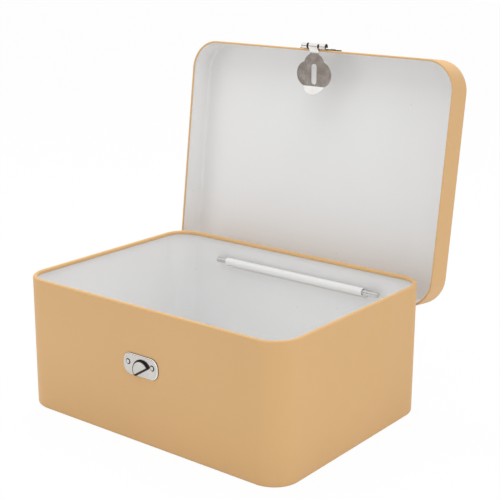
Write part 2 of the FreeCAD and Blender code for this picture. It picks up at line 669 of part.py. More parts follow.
def make_hasp_plate():
    """The plate on the lid's front, its lower edge rolled forwards into two knuckles."""
    body = new_body("hasp_plate")
    axis = (PIN_Y, PIN_Z)
    face = f"({HASP_PLATE_BACK} - Tin.hasp_gauge)"
    top = f"({PIN_Z} + Tin.hasp_plate_height)"
    roll_end = "-Tin.knuckle_turn"
    section = sketch_on(body, "hasp_plate_section", "YZ_Plane")
    outline(section, [
        ((HASP_PLATE_BACK, top), line()),
        ((HASP_PLATE_BACK, PIN_Z), arc(KNUCKLE_RADIUS, axis, clockwise=True)),
        (polar(axis, KNUCKLE_RADIUS, roll_end), line()),
        (polar(axis, BORE_RADIUS, roll_end), arc(BORE_RADIUS, axis)),
        ((face, PIN_Z), line()),
        ((face, top), line()),
    ])
    pad(body, section, "Tin.hasp_plate_width", both_ways=True)
    half = "(Tin.hasp_plate_width / 2)"
    corner = "Tin.hasp_plate_corner"
    low = f"({PIN_Z} + {KNUCKLE_RADIUS} + Tin.notch_clearance)"
    foot = f"({PIN_Z} - 2 * {KNUCKLE_RADIUS})"
    inner_left, inner_right = f"({corner} - {half})", f"({half} - {corner})"
    inner_low, inner_top = f"({low} + {corner})", f"({top} - {corner})"
    trim_to(body, "hasp_plate_blank", "(Tin.body_height + Tin.hasp_plate_width)", [
        ((f"-{half}", inner_low), line()),
        ((f"-{half}", inner_top), arc(corner, (inner_left, inner_top), clockwise=True)),
        ((inner_left, top), line()),
        ((inner_right, top), arc(corner, (inner_right, inner_top), clockwise=True)),
        ((half, inner_top), line()),
        ((half, inner_low), arc(corner, (inner_right, inner_low), clockwise=True)),
        ((inner_right, low), line()),
        ((KNUCKLE_END, low), line()),
        ((KNUCKLE_END, foot), line()),
        ((KNUCKLE_START, foot), line()),
        ((KNUCKLE_START, low), line()),
        ((f"-{KNUCKLE_START}", low), line()),
        ((f"-{KNUCKLE_START}", foot), line()),
        ((f"-{KNUCKLE_END}", foot), line()),
        ((f"-{KNUCKLE_END}", low), line()),
        ((inner_left, low), arc(corner, (inner_left, inner_low), clockwise=True)),
    ])
    front_holes(
        body, "hasp_plate_holes", f"({face} - Tin.hasp_gauge)", "3 * Tin.hasp_gauge",
        f"({PIN_Z} + Tin.hasp_rivet_rise)",
    )
    body.setExpression("Placement", LID_PLACEMENT)
    return body


def make_hasp_pin():
    """The pin through the three knuckles, its ends a little inside the outer ones."""
    body = new_body("hasp_pin")
    section = sketch_on(body, "pin_section", "YZ_Plane")
    circle_at(section, (PIN_Y, PIN_Z), "Tin.pin_radius")
    pad(body, section, f"2 * ({KNUCKLE_END} - Tin.pin_recess)", both_ways=True)
    body.setExpression("Placement", LID_PLACEMENT)
    return body


def make_hasp_leaf():
    """The hasp: rolled knuckle, neck with a step, four lobes round a slot, lower lobe bent out."""
    body = new_body("hasp_leaf")
    axis = ("0", "0")
    gauge = "Tin.hasp_gauge"
    outer, inner = f"-{KNUCKLE_RADIUS}", f"-{BORE_RADIUS}"
    plate_outer, plate_inner = f"({outer} + Tin.joggle_depth)", f"({inner} + Tin.joggle_depth)"
    lean = "atan(Tin.joggle_depth / (Tin.joggle_end - Tin.joggle_start))"
    shift = f"({gauge} * tan({lean} / 2))"
    notch = "((Tin.lobe_offset + sqrt(2 * Tin.lobe_radius ^ 2 - Tin.lobe_offset ^ 2)) / 2)"
    fold = f"(-Tin.hasp_drop - {notch})"
    tab = f"(Tin.lobe_offset + Tin.lobe_radius - {notch})"
    tab_out, tab_down = f"({tab} * sin(Tin.tab_angle))", f"({tab} * cos(Tin.tab_angle))"
    fold_shift = f"({gauge} * tan(Tin.tab_angle / 2))"
    roll_end = "180 - Tin.knuckle_turn"
    section = sketch_on(body, "hasp_section", "YZ_Plane")
    outline(section, [
        ((outer, "0"), arc(KNUCKLE_RADIUS, axis, clockwise=True)),
        (polar(axis, KNUCKLE_RADIUS, roll_end), line()),
        (polar(axis, BORE_RADIUS, roll_end), arc(BORE_RADIUS, axis)),
        ((inner, "0"), line()),
        ((inner, "-Tin.joggle_start"), line()),
        ((plate_inner, "-Tin.joggle_end"), line()),
        ((plate_inner, f"({fold} - {fold_shift})"), line()),
        (
            (
                f"({plate_outer} - {tab_out} + {gauge} * cos(Tin.tab_angle))",
                f"({fold} - {tab_down} - {gauge} * sin(Tin.tab_angle))",
            ),
            line(),
        ),
        ((f"({plate_outer} - {tab_out})", f"({fold} - {tab_down})"), line()),
        ((plate_outer, fold), line()),
        ((plate_outer, f"(-Tin.joggle_end - {shift})"), line()),
        ((outer, f"(-Tin.joggle_start - {shift})"), line()),
    ])
    width = "(2 * (Tin.lobe_offset + Tin.lobe_radius))"
    pad(body, section, width, both_ways=True)
    half_neck = "(Tin.neck_width / 2)"
    top = f"(2 * {KNUCKLE_RADIUS})"
    centre_z = "(-Tin.hasp_drop)"
    lobe = "Tin.lobe_radius"
    offset = "Tin.lobe_offset"
    neck_foot = f"({centre_z} + {offset} + sqrt({lobe} ^ 2 - {half_neck} ^ 2))"
    top_lobe = ("0", f"({centre_z} + {offset})")
    tab_drop = f"({tab_down} + {gauge} * sin(Tin.tab_angle))"
    tab_radius = f"(({notch} ^ 2 + {tab_drop} ^ 2) / (2 * {tab_drop}))"
    tab_centre = ("0", f"({centre_z} - {notch} - {tab_drop} + {tab_radius})")
    upper, lower = f"({centre_z} + {notch})", f"({centre_z} - {notch})"
    trim_to(body, "hasp_blank", f"(3 * {width})", [
        ((f"-{half_neck}", top), line()),
        ((half_neck, top), line()),
        ((half_neck, neck_foot), arc(lobe, top_lobe, clockwise=True)),
        ((notch, upper), arc(lobe, (offset, centre_z), clockwise=True)),
        ((notch, lower), arc(tab_radius, tab_centre, clockwise=True)),
        ((f"-{notch}", lower), arc(lobe, (f"-{offset}", centre_z), clockwise=True)),
        ((f"-{notch}", upper), arc(lobe, top_lobe, clockwise=True)),
        ((f"-{half_neck}", neck_foot), line()),
    ])
    slot = sketch_on(body, "hasp_slot", "XZ_Plane")
    stadium(
        slot, "(Tin.hasp_slot_width / 2)", "(Tin.hasp_slot_length / 2)", ("0", centre_z), upright=True
    )
    pocket(body, slot)
    reach_y, reach_z = f"({PIN_Y} - {HINGE_Y})", f"({PIN_Z} - {HINGE_Z})"
    turn = "Tin.lid_open_angle"
    hung_y = f"({HINGE_Y} + {reach_y} * cos({turn}) + {reach_z} * sin({turn}))"
    hung_z = f"({HINGE_Z} - {reach_y} * sin({turn}) + {reach_z} * cos({turn}))"
    body.setExpression("Placement", f"placement(vector(0; {hung_y}; {hung_z}); rotation(vector(1; 0; 0); 0))")
    return body


pieces = [
    make_body_wall(),
    make_base_panel(),
    make_lid_shell(),
    make_hinge_wire(),
    make_knob_plate(),
    make_rivet_pair(
        "knob_plate_rivets", f"(-{HALF_DEPTH} - Tin.knob_plate_gauge)", KNOB_HEIGHT,
        f"(Tin.knob_plate_gauge + {GAUGE})",
    ),
    make_turn_knob(),
    make_knob_washer(),
    make_hasp_plate(),
    make_rivet_pair(
        "hasp_plate_rivets", f"({HASP_PLATE_BACK} - Tin.hasp_gauge)", f"({PIN_Z} + Tin.hasp_rivet_rise)",
        f"(Tin.hasp_gauge + Tin.leaf_seat_gap + {GAUGE})",
    ),
    make_hasp_pin(),
    make_hasp_leaf(),
]
lid_rivets = next(piece for piece in pieces if piece.Label == "hasp_plate_rivets")
lid_rivets.setExpression("Placement", LID_PLACEMENT)
doc.recompute()

for item in doc.Objects:
    if "Invalid" in item.State or "Error" in item.State:
        raise RuntimeError(f"{item.Name} failed: {item.State}")
for piece in pieces:
    if piece.Shape.isNull() or not piece.Shape.isValid():
        raise RuntimeError(f"{piece.Label} has no valid shape")

os.makedirs("parts", exist_ok=True)
for piece in pieces:
    piece.Shape.exportStep(f"parts/{piece.Label}.step")
    box = piece.Shape.optimalBoundingBox()
    print(
        f"{piece.Label}: solids {len(piece.Shape.Solids)}, volume {piece.Shape.Volume:.1f}, "
        f"y {box.YMin:.2f} to {box.YMax:.2f}, z {box.ZMin:.2f} to {box.ZMax:.2f}"
    )
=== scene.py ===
import json
import math

import bmesh
import bpy
from bpy.props import FloatProperty, FloatVectorProperty, PointerProperty
from mathutils import Matrix, Vector


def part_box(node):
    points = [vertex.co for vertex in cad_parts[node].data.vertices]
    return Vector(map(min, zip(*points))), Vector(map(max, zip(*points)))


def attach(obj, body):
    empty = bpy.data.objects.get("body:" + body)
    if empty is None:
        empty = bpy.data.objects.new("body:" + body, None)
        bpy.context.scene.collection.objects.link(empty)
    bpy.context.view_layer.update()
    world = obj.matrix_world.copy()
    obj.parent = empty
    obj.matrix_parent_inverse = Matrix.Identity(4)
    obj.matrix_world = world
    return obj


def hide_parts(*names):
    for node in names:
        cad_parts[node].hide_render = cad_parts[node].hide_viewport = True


bl_info = {
    "name": "Tin money box",
    "version": (1, 0, 0),
    "blender": (4, 5, 0),
    "location": "View3D > Sidebar > Tin box",
    "description": "Painted sheet-metal box with a hinged lid, a slotted hasp and a turn knob",
    "category": "Object",
}

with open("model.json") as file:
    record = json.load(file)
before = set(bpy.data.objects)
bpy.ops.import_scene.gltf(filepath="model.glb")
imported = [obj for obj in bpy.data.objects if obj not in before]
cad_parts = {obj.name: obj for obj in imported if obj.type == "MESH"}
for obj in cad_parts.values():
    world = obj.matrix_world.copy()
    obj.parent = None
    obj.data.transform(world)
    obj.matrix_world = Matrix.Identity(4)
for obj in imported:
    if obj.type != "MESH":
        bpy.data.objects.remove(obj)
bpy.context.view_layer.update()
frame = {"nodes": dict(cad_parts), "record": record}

MM = 0.001
TINY = 0.02 * MM
X_AXIS, Y_AXIS, Z_AXIS = Vector((1, 0, 0)), Vector((0, 1, 0)), Vector((0, 0, 1))
SMOOTH_ANGLE = math.radians(35)
EASED_ANGLE = math.radians(40)
PAINT_SPECULAR = 0.3


# Sizes and colours

def length(name, description, millimetres):
    return FloatProperty(
        name=name, description=description, default=millimetres * MM, unit="LENGTH", precision=5
    )


def angle(name, description, degrees):
    return FloatProperty(
        name=name, description=description, default=math.radians(degrees), unit="ROTATION"
    )


def colour(name, description, red, green, blue):
    return FloatVectorProperty(
        name=name, description=description, default=(red, green, blue, 1.0),
        size=4, min=0.0, max=1.0, subtype="COLOR",
    )


def share(name, description, value):
    return FloatProperty(
        name=name, description=description, default=value, min=0.0, max=1.0, subtype="FACTOR"
    )


class BoxSizes(bpy.types.PropertyGroup):
    """The box under the lid."""
    width: length("Width", "Outside width", 220)
    depth: length("Depth", "Outside depth", 164)
    height: length("Height", "Up to the top of the rolled rim", 93)
    corner: length("Corner", "Radius of the upright corners", 19)
    gauge: length("Sheet", "Thickness of the painted sheet", 0.4)
    rim: length("Rim roll", "Radius of the rolled rim", 1.5)
    foot: length("Foot bend", "Radius of the bend under the wall", 2.5)
    lip: length("Foot lip", "Width of the lip turned in under the wall", 8)
    base_gap: length("Base gap", "Base panel's edge to the wall's bend", 0.3)
    slot_length: length("Slot length", "Hinge slot in the back wall", 128)
    slot_height: length("Slot height", "Hinge slot in the back wall", 3.4)


class LidSizes(bpy.types.PropertyGroup):
    """The lid, with sizes as it lies shut."""
    overhang: length("Overhang", "Lid's skirt outside the box's wall", 2.3)
    forward: length("Forward", "Lid's middle ahead of the box's middle", 0.5)
    top: length("Top", "Height of the shut lid's top", 93.7)
    skirt: length("Skirt", "Height of the lid", 21)
    curl: length("Rim roll", "Radius of the lid's rolled rim", 0.7)
    edge: length("Top edge", "Radius round the lid's top", 3)
    opening: angle("Opening", "How far the lid stands open", 97)
    hinge_y: length("Hinge depth", "Hinge axis behind the middle", 81.8)
    hinge_z: length("Hinge height", "Hinge axis above the base", 72.05)
    tongue: length("Tongue", "Length of the rolled tongue", 122)
    tongue_shift: length("Tongue shift", "Tongue's middle right of the box's middle", 1.6)
    tongue_root: length("Tongue root", "Height where the tongue leaves the skirt", 74.9)
    tongue_bend: length("Tongue bend", "Inner radius where the tongue turns in", 0.8)
    tongue_slope: angle("Tongue slope", "Tongue's fall below level, lid shut", 31)
    tongue_reach: length("Tongue reach", "Hinge axis to the start of the roll", 5.4)
    roll: length("Roll", "Outside radius of the rolled tongue", 2.75)
    roll_turn: angle("Roll turn", "How far the tongue is rolled round", 342)
    wire: length("Wire", "Radius of the hinge wire", 2)
    wire_length: length("Wire length", "Hinge wire from end to end", 144)
    wire_shift: length("Wire shift", "Wire's middle right of the box's middle", 3)


class ClaspSizes(bpy.types.PropertyGroup):
    """The turn knob, the hasp and their plates."""
    knob_height: length("Knob height", "Knob's axis above the base", 53)
    plate_width: length("Plate width", "Both plates", 29.5)
    plate_height: length("Plate height", "Plate under the knob", 14.5)
    plate_lift: length("Plate lift", "Plate's middle above the knob's axis", 1.0)
    rivet_lift: length("Rivet lift", "Rivets above the knob's axis", 2.2)
    plate_corner: length("Plate corner", "Rounded corners of the knob's plate", 6)
    plate_gauge: length("Plate thickness", "Plate under the knob", 1)
    plate_bevel: length("Plate bevel", "Rounded edge of the knob's plate", 0.9)
    rivet_spacing: length("Rivet spacing", "Between a plate's two rivets", 20.5)
    rivet: length("Rivet", "Radius of a rivet's head", 2)
    knob_angle: angle("Knob angle", "Leaf's lean to the right of upright", 57)
    leaf_length: length("Leaf length", "Knob's leaf", 13.6)
    leaf_straight: length("Leaf straight side", "Knob's axis to the leaf's straight side", 3.2)
    leaf_bow: length("Leaf bow", "Knob's axis to the middle of the bowed side", 4.4)
    leaf_corner: length("Leaf corner", "Rounded corners of the leaf", 1.3)
    leaf_gauge: length("Leaf thickness", "Knob's leaf", 1.0)
    leaf_ease: length("Leaf edge", "Rounded edges of the leaf", 0.3)
    # The leaf's rim and edges are painted shade, a dark outline round its face.
    leaf_shade_rim: length("Leaf shade rim", "Dark rim on the leaf's face", 0.4)
    leaf_foot: length("Leaf foot", "Wall's face to the leaf", 1.6)
    # The next two size a dark sheet under the knob's leaf, a painted shadow round it.
    shadow_sheet: length("Shadow sheet", "Dark footing seen round the leaf", 0.5)
    shadow_sheet_gauge: length("Footing thickness", "Dark footing under the leaf", 0.4)
    knob_lift: length("Knob lift", "Leaf's middle above the knob's axis", 0.5)
    stem_hole: length("Stem hole", "Radius of the hole for the knob's stem", 2.3)
    stem: length("Stem", "Radius of the knob's stem", 1.5)
    stem_tail: length("Stem tail", "Wall's inside to the stem's riveted end", 0.7)
    hasp_gauge: length("Hasp sheet", "Thickness of the hasp and its plate", 0.8)
    knuckle: length("Knuckle", "Outside radius of the knuckles", 2.16)
    knuckle_turn: angle("Knuckle turn", "How far a knuckle is rolled round", 290)
    knuckle_start: length("Knuckle start", "Outer knuckle's inner end, from the middle", 5.4)
    knuckle_length: length("Knuckle length", "Each outer knuckle", 4.8)
    pin_drop: length("Pin drop", "Hasp pin below the shut lid's rim", 1.4)
    seat_gap: length("Seat gap", "Hasp plate to the lid's paint", 0.05)
    hasp_plate_gap: length("Hasp plate gap", "Knuckles to the hasp plate's near edge", 0.4)
    hasp_plate_top: length("Hasp plate top", "Pin to the hasp plate's far edge", 14.5)
    hasp_plate_corner: length("Hasp plate corner", "Rounded corners of the hasp's plate", 2)
    hasp_rivet_rise: length("Hasp rivet rise", "Pin to the hasp plate's rivets", 8.8)
    hasp_ease: length("Hasp edge", "Rounded edges of the hasp and its plate", 0.12)
    neck: length("Neck", "Width of the hasp's neck", 7.6)
    lobe: length("Lobe", "Radius of each lobe of the hasp", 9.25)
    lobe_offset: length("Lobe offset", "A lobe's centre from the hasp's middle", 5.75)
    drop: length("Drop", "Pin to the hasp's middle", 19.9)
    step_start: length("Step start", "Pin to the step in the hasp's face", 0.6)
    step_end: length("Step end", "Pin to the end of that step", 3.9)
    step: length("Step", "Depth of that step", 2.25)
    tab_angle: angle("Tab angle", "Finger tab bent out", 31)
    tab_bend: length("Tab bend", "Run of the bend above the finger tab", 0.7)
    slot_width: length("Slot width", "Slot over the knob", 4.2)
    slot_length: length("Slot length", "Slot over the knob", 14.6)


class Finishes(bpy.types.PropertyGroup):
    """Colours and surface of the finishes."""
    tan: colour("Tan paint", "Outside of the box and the lid", 0.692, 0.430, 0.196)
    lining: colour("Lining", "White paint inside", 0.85, 0.85, 0.85)
    nickel: colour("Nickel", "Clasp and its rivets", 0.86, 0.84, 0.81)
    steel: colour("Steel", "Wire, pin and washer", 0.66, 0.66, 0.65)
    paint_roughness: share("Paint roughness", "How matte the tan paint is", 0.52)
    lining_roughness: share("Lining roughness", "How matte the lining is", 0.50)
    nickel_roughness: share("Nickel roughness", "How dull the clasp is", 0.16)
    steel_roughness: share("Steel roughness", "How dull the wire is", 0.30)
    # The dark colour below is painted shade, laid on cut edges, rivet skirts, the knob's leaf and
    # the dark sheet under it, and the hasp pin.
    painted_shade: colour("Painted shade", "Punched edges, rivet skirts and the pin", 0.060, 0.050, 0.045)
    painted_shade_roughness: share("Painted shade roughness", "How dull a punched edge is", 0.45)


class TinBox(bpy.types.PropertyGroup):
    """All the sizes and colours of the money box."""
    box: PointerProperty(type=BoxSizes)
    lid: PointerProperty(type=LidSizes)
    clasp: PointerProperty(type=ClaspSizes)
    finishes: PointerProperty(type=Finishes)


def settings():
    return bpy.context.scene.tin_box


# Modelling by hand

def select_none():
    if bpy.context.object and bpy.context.object.mode != "OBJECT":
        bpy.ops.object.mode_set(mode="OBJECT")
    bpy.ops.object.select_all(action="DESELECT")


def take(piece):
    """Make a piece the only one selected and active."""
    select_none()
    piece.select_set(True)
    bpy.context.view_layer.objects.active = piece


def select_mesh():
    bpy.ops.mesh.select_all(action="SELECT")


def start_from(primitive, name, **size):
    """Add a primitive by itself, name it and open it for editing."""
    select_none()
    primitive(**size)
    piece = bpy.context.object
    piece.name = name
    piece.data.name = name
    bpy.ops.object.mode_set(mode="EDIT")
    select_mesh()
    return piece


def pick(piece, kind, test):
    """Select only the vertices, edges or faces whose corners all pass a test."""
    bpy.ops.mesh.select_mode(type=kind)
    bpy.ops.mesh.select_all(action="DESELECT")
    mesh = bmesh.from_edit_mesh(piece.data)
    items = {"VERT": mesh.verts, "EDGE": mesh.edges, "FACE": mesh.faces}[kind]
    found = 0
    for item in items:
        corners = [item.co] if kind == "VERT" else [vertex.co for vertex in item.verts]
        if all(test(corner) for corner in corners):
            item.select_set(True)
            found += 1
    if not found:
        raise RuntimeError(f"{piece.name}: nothing to select")
    mesh.select_flush_mode()
    bmesh.update_edit_mesh(piece.data)


def slide(step):
    """Extrude the selection along a straight run."""
    bpy.ops.mesh.extrude_region_move(TRANSFORM_OT_translate={"value": step})


def turn(centre, degrees, axis, steps):
    """Spin the selection round an axis, right-handed; the operator's own angle is left-handed."""
    bpy.ops.mesh.spin(steps=steps, angle=-math.radians(degrees), center=centre, axis=axis)


class Pen:
    """Draws a chain of edges in a new mesh, from point to point."""

    def __init__(self, name, place):
        self.piece = start_from(bpy.ops.mesh.primitive_plane_add, name, size=MM)
        bpy.ops.mesh.select_mode(type="VERT")
        bpy.ops.mesh.merge(type="CENTER")
        self.place = Vector(place)
        bpy.ops.transform.translate(value=self.place)

    def line(self, *place):
        slide(Vector(place) - self.place)
        self.place = Vector(place)

    def arc(self, centre, degrees, axis, steps):
        turn(centre, degrees, axis, steps)
        arm = self.place - Vector(centre)
        arm.rotate(Matrix.Rotation(math.radians(degrees), 3, axis))
        self.place = Vector(centre) + arm


def sweep_round(run_x, run_y, middle_y, steps):
    """Carry a profile drawn at the middle of the back once round a rounded rectangle."""
    select_mesh()
    slide((run_x, 0, 0))
    for x, y, side in (
        (run_x, run_y, (0, -2 * run_y, 0)), (run_x, -run_y, (-2 * run_x, 0, 0)),
        (-run_x, -run_y, (0, 2 * run_y, 0)), (-run_x, run_y, (run_x, 0, 0)),
    ):
        turn((x, middle_y + y, 0), -90, Z_AXIS, steps)
        slide(side)


def merge_doubles():
    select_mesh()
    bpy.ops.mesh.remove_doubles(threshold=TINY)


def weld():
    """Merge doubles and turn the faces outwards."""
    merge_doubles()
    bpy.ops.mesh.normals_make_consistent(inside=False)


def fill_outline():
    """Close a drawn outline with one face."""
    select_mesh()
    bpy.ops.mesh.edge_face_add()


def face_towards(piece, place, direction):
    """Flip the whole sheet if the face nearest to a place looks away from a direction."""
    mesh = bmesh.from_edit_mesh(piece.data)
    mesh.normal_update()
    nearest = min(mesh.faces, key=lambda face: (face.calc_center_median() - Vector(place)).length)
    if nearest.normal.dot(Vector(direction)) < 0:
        select_mesh()
        bpy.ops.mesh.flip_normals()


def modify(piece, kind, **values):
    """Add a modifier with its values and apply it."""
    take(piece)
    modifier = piece.modifiers.new(kind.lower(), kind)
    for name, value in values.items():
        setattr(modifier, name, value)
    bpy.ops.object.modifier_apply(modifier=modifier.name)


def thicken(piece, gauge):
    """Give a sheet its thickness behind its faces; the back takes the second finish."""
    modify(piece, "SOLIDIFY", thickness=gauge, offset=-1, use_even_offset=True, material_offset=1)


def cut(piece, cutter):
    """Take a cutter's shape out of a piece."""
    modify(piece, "BOOLEAN", operation="DIFFERENCE", solver="EXACT", object=cutter)
    shape = cutter.data
    bpy.data.objects.remove(cutter)
    bpy.data.meshes.remove(shape)


def ease_edges(piece, width, steps=2):
    """Round the sharp edges a little."""
    modify(
        piece, "BEVEL", width=width, segments=steps, limit_method="ANGLE",
        angle_limit=EASED_ANGLE, use_clamp_overlap=True,
    )


def smooth(piece):
    """Shade bends smoothly and keep the flats flat."""
    take(piece)
    bpy.ops.object.shade_smooth_by_angle(angle=SMOOTH_ANGLE)
    modify(piece, "WEIGHTED_NORMAL", weight=100, keep_sharp=True)


def put(piece, place):
    """Move a piece by a matrix and leave the move in its mesh."""
    take(piece)
    piece.matrix_world = place @ piece.matrix_world
    bpy.ops.object.transform_apply(location=True, rotation=True, scale=True)


def stand(piece, place):
    """Stand a piece that was drawn flat upright, its top to the front, at a place."""
    put(piece, Matrix.Translation(place) @ Matrix.Rotation(math.radians(90), 4, "X"))


def join(piece, *others):
    take(piece)
    for other in others:
        other.select_set(True)
    bpy.ops.object.join()
    return piece


def rounded_plate(name, half_x, half_y, corner, steps):
    """A flat rounded rectangle on the ground, open for editing."""
    piece = start_from(bpy.ops.mesh.primitive_plane_add, name, size=2)
    bpy.ops.transform.resize(value=(half_x, half_y, 1))
    bpy.ops.mesh.bevel(offset=corner, segments=steps, profile=0.5, affect="VERTICES")
    return piece


def lathe(name, profile, steps):
    """A turned piece round the Z axis, from points of radius and height."""
    (radius, height), *others = profile
    pen = Pen(name, (radius, 0, height))
    for radius, height in others:
        pen.line(radius, 0, height)
    select_mesh()
    turn((0, 0, 0), 360, Z_AXIS, steps)
    weld()
    return pen.piece


def dress(piece, *materials):
    piece.data.materials.clear()
    for material in materials:
        piece.data.materials.append(material)


def second_finish(piece, test):
    """Give a piece's second finish to the faces whose middle and normal pass a test."""
    for face in piece.data.polygons:
        if test(face.center, face.normal):
            face.material_index = 1


def body_of(node):
    bodies = frame["record"]["behaviour"]["bodies"]
    return next(body for body, nodes in bodies.items() if node in nodes)


def hand_in(piece, slot, *nodes):
    """A finished piece rides on its body and stands for its solids."""
    smooth(piece)
    select_none()
    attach(piece, body_of(nodes[0]))
    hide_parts(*nodes)


def drill_for_stem(piece):
    """Drill the knob's hole through a piece on the front of the box."""
    box, clasp = settings().box, settings().clasp
    drill = start_from(
        bpy.ops.mesh.primitive_cylinder_add, "stem_drill",
        vertices=32, radius=clasp.stem_hole, depth=10 * MM,
    )
    stand(drill, (0, -box.depth / 2, clasp.knob_height))
    cut(piece, drill)


def opened():
    """The turn from the shut lid to the open one, about the hinge."""
    lid = settings().lid
    hinge = Vector((0, lid.hinge_y, lid.hinge_z))
    return (
        Matrix.Translation(hinge)
        @ Matrix.Rotation(-lid.opening, 4, X_AXIS)
        @ Matrix.Translation(-hinge)
    )


def shut_pin():
    """The hasp pin's place with the lid shut."""
    sizes = settings()
    front = -(sizes.box.depth / 2 + sizes.lid.overhang) - sizes.lid.forward
    back = front - sizes.clasp.seat_gap
    rim = sizes.lid.top - sizes.lid.skirt
    return Vector((0, back - sizes.clasp.knuckle, rim - sizes.clasp.pin_drop))


# Finishes

COLOUR, VALUE = "NodeSocketColor", "NodeSocketFloat"
SURFACE = (("Colour", COLOUR), ("Roughness", VALUE), ("Height", VALUE))
RELIEF_DEPTH = 0.1 * MM
NOISE_RANGE = (0.3, 0.7)
SPECKS_PER_METRE = 66
SPECK_EDGE = (0.018, 0.034)
SPECK_DARKNESS = 0.3


def shared_group(name, inputs, outputs, effect):
    """A node group built once from what an effect makes of its inputs and the place."""
    known = bpy.data.node_groups.get(name)
    if known:
        return known
    group = bpy.data.node_groups.new(name, "ShaderNodeTree")
    for socket, kind in inputs:
        group.interface.new_socket(name=socket, in_out="INPUT", socket_type=kind)
    for socket, kind in outputs:
        group.interface.new_socket(name=socket, in_out="OUTPUT", socket_type=kind)
    given = group.nodes.new("NodeGroupInput").outputs
    place = group.nodes.new("ShaderNodeTexCoord").outputs["Object"]
    end = group.nodes.new("NodeGroupOutput")
    for socket, value in zip(end.inputs, effect(group, given, place)):
        group.links.new(value, socket)
    return group


def noise(group, coordinates, scale, detail):
    node = group.nodes.new("ShaderNodeTexNoise")
    node.inputs["Scale"].default_value = scale
    node.inputs["Detail"].default_value = detail
    group.links.new(coordinates, node.inputs["Vector"])
    return node.outputs["Fac"]


def spread(group, value, low, high, source=NOISE_RANGE):
    """Map a value's usual range, a noise's unless another is given, onto low to high."""
    node = group.nodes.new("ShaderNodeMapRange")
    limits = ("From Min", "From Max", "To Min", "To Max")
    for socket, limit in zip(limits, (*source, low, high)):
        node.inputs[socket].default_value = limit
    group.links.new(value, node.inputs["Value"])
    return node.outputs["Result"]


def tinted(group, tone, value):
    """A colour made lighter or darker by a value near 1."""
    node = group.nodes.new("ShaderNodeHueSaturation")
    group.links.new(tone, node.inputs["Color"])
    group.links.new(value, node.inputs["Value"])
    return node.outputs["Color"]


def math_node(group, operation, first, second):
    node = group.nodes.new("ShaderNodeMath")
    node.operation = operation
    for socket, value in zip(node.inputs, (first, second)):
        if isinstance(value, (int, float)):
            socket.default_value = value
        else:
            group.links.new(value, socket)
    return node.outputs[0]


def sprayed_paint(group, given, place):
    """Sprayed paint: colour that drifts in clouds and grain, orange peel and a patchy gloss."""
    clouds = spread(group, noise(group, place, scale=14, detail=2), -1, 1)
    grain = spread(group, noise(group, place, scale=1400, detail=2), -0.6, 0.6)
    patches = spread(group, noise(group, place, scale=60, detail=3), -0.05, 0.05)
    peel = noise(group, place, scale=700, detail=1)
    both = math_node(group, "ADD", clouds, grain)
    shift = math_node(group, "MULTIPLY", both, given["Drift"])
    tone = tinted(group, given["Colour"], math_node(group, "ADD", shift, 1.0))
    return tone, math_node(group, "ADD", patches, given["Gloss"]), peel


def polished_sheet(group, given, place):
    """Polished sheet: hair scratches along one way, smudges in the gloss and a faint cloud."""
    comb = group.nodes.new("ShaderNodeMapping")
    comb.inputs["Scale"].default_value = (1.0, 14.0, 14.0)
    group.links.new(place, comb.inputs["Vector"])
    hairs = noise(group, comb.outputs["Vector"], scale=420, detail=2)
    smudges = noise(group, place, scale=160, detail=3)
    tone = tinted(group, given["Colour"], spread(group, smudges, 0.94, 1.05))
    dull = math_node(
        group, "ADD", spread(group, smudges, -0.05, 0.07), spread(group, hairs, -0.03, 0.03)
    )
    return tone, math_node(group, "ADD", dull, given["Gloss"]), hairs


def dust_specks(group, given, place):
    """Rare specks of dust caught in the paint."""
    cells = group.nodes.new("ShaderNodeTexVoronoi")
    cells.inputs["Scale"].default_value = SPECKS_PER_METRE
    group.links.new(place, cells.inputs["Vector"])
    dot = spread(group, cells.outputs["Distance"], 1.0, 0.0, source=SPECK_EDGE)
    shade = math_node(group, "MULTIPLY", dot, given["Darkness"])
    return (tinted(group, given["Colour"], math_node(group, "SUBTRACT", 1.0, shade)),)


def paint_group():
    inputs = (("Colour", COLOUR), ("Drift", VALUE), ("Gloss", VALUE))
    return shared_group("sprayed paint", inputs, SURFACE, sprayed_paint)


def metal_group():
    inputs = (("Colour", COLOUR), ("Gloss", VALUE))
    return shared_group("polished sheet", inputs, SURFACE, polished_sheet)


def speck_group():
    inputs = (("Colour", COLOUR), ("Darkness", VALUE))
    return shared_group("dust specks", inputs, (("Colour", COLOUR),), dust_specks)


def new_material(name):
    material = bpy.data.materials.new(name)
    material.use_nodes = True
    return material, material.node_tree


def finish_of(name, group, values, relief, metallic):
    """A material that takes its colour, gloss and relief from a shared group."""
    known = bpy.data.materials.get(name)
    if known:
        return known
    material, tree = new_material(name)
    shader = tree.nodes["Principled BSDF"]
    surface = tree.nodes.new("ShaderNodeGroup")
    surface.node_tree = group
    for socket, value in values.items():
        surface.inputs[socket].default_value = value
    bump = tree.nodes.new("ShaderNodeBump")
    bump.inputs["Strength"].default_value = relief
    bump.inputs["Distance"].default_value = RELIEF_DEPTH
    tree.links.new(surface.outputs["Colour"], shader.inputs["Base Color"])
    tree.links.new(surface.outputs["Roughness"], shader.inputs["Roughness"])
    tree.links.new(surface.outputs["Height"], bump.inputs["Height"])
    tree.links.new(bump.outputs["Normal"], shader.inputs["Normal"])
    shader.inputs["Metallic"].default_value = metallic
    shader.inputs["Specular IOR Level"].default_value = PAINT_SPECULAR
    material.diffuse_color = values["Colour"]
    return material


def tan_paint():
    looks = settings().finishes
    values = {"Colour": looks.tan, "Drift": 0.012, "Gloss": looks.paint_roughness}
    return finish_of("tan paint", paint_group(), values, relief=0.12, metallic=0.0)


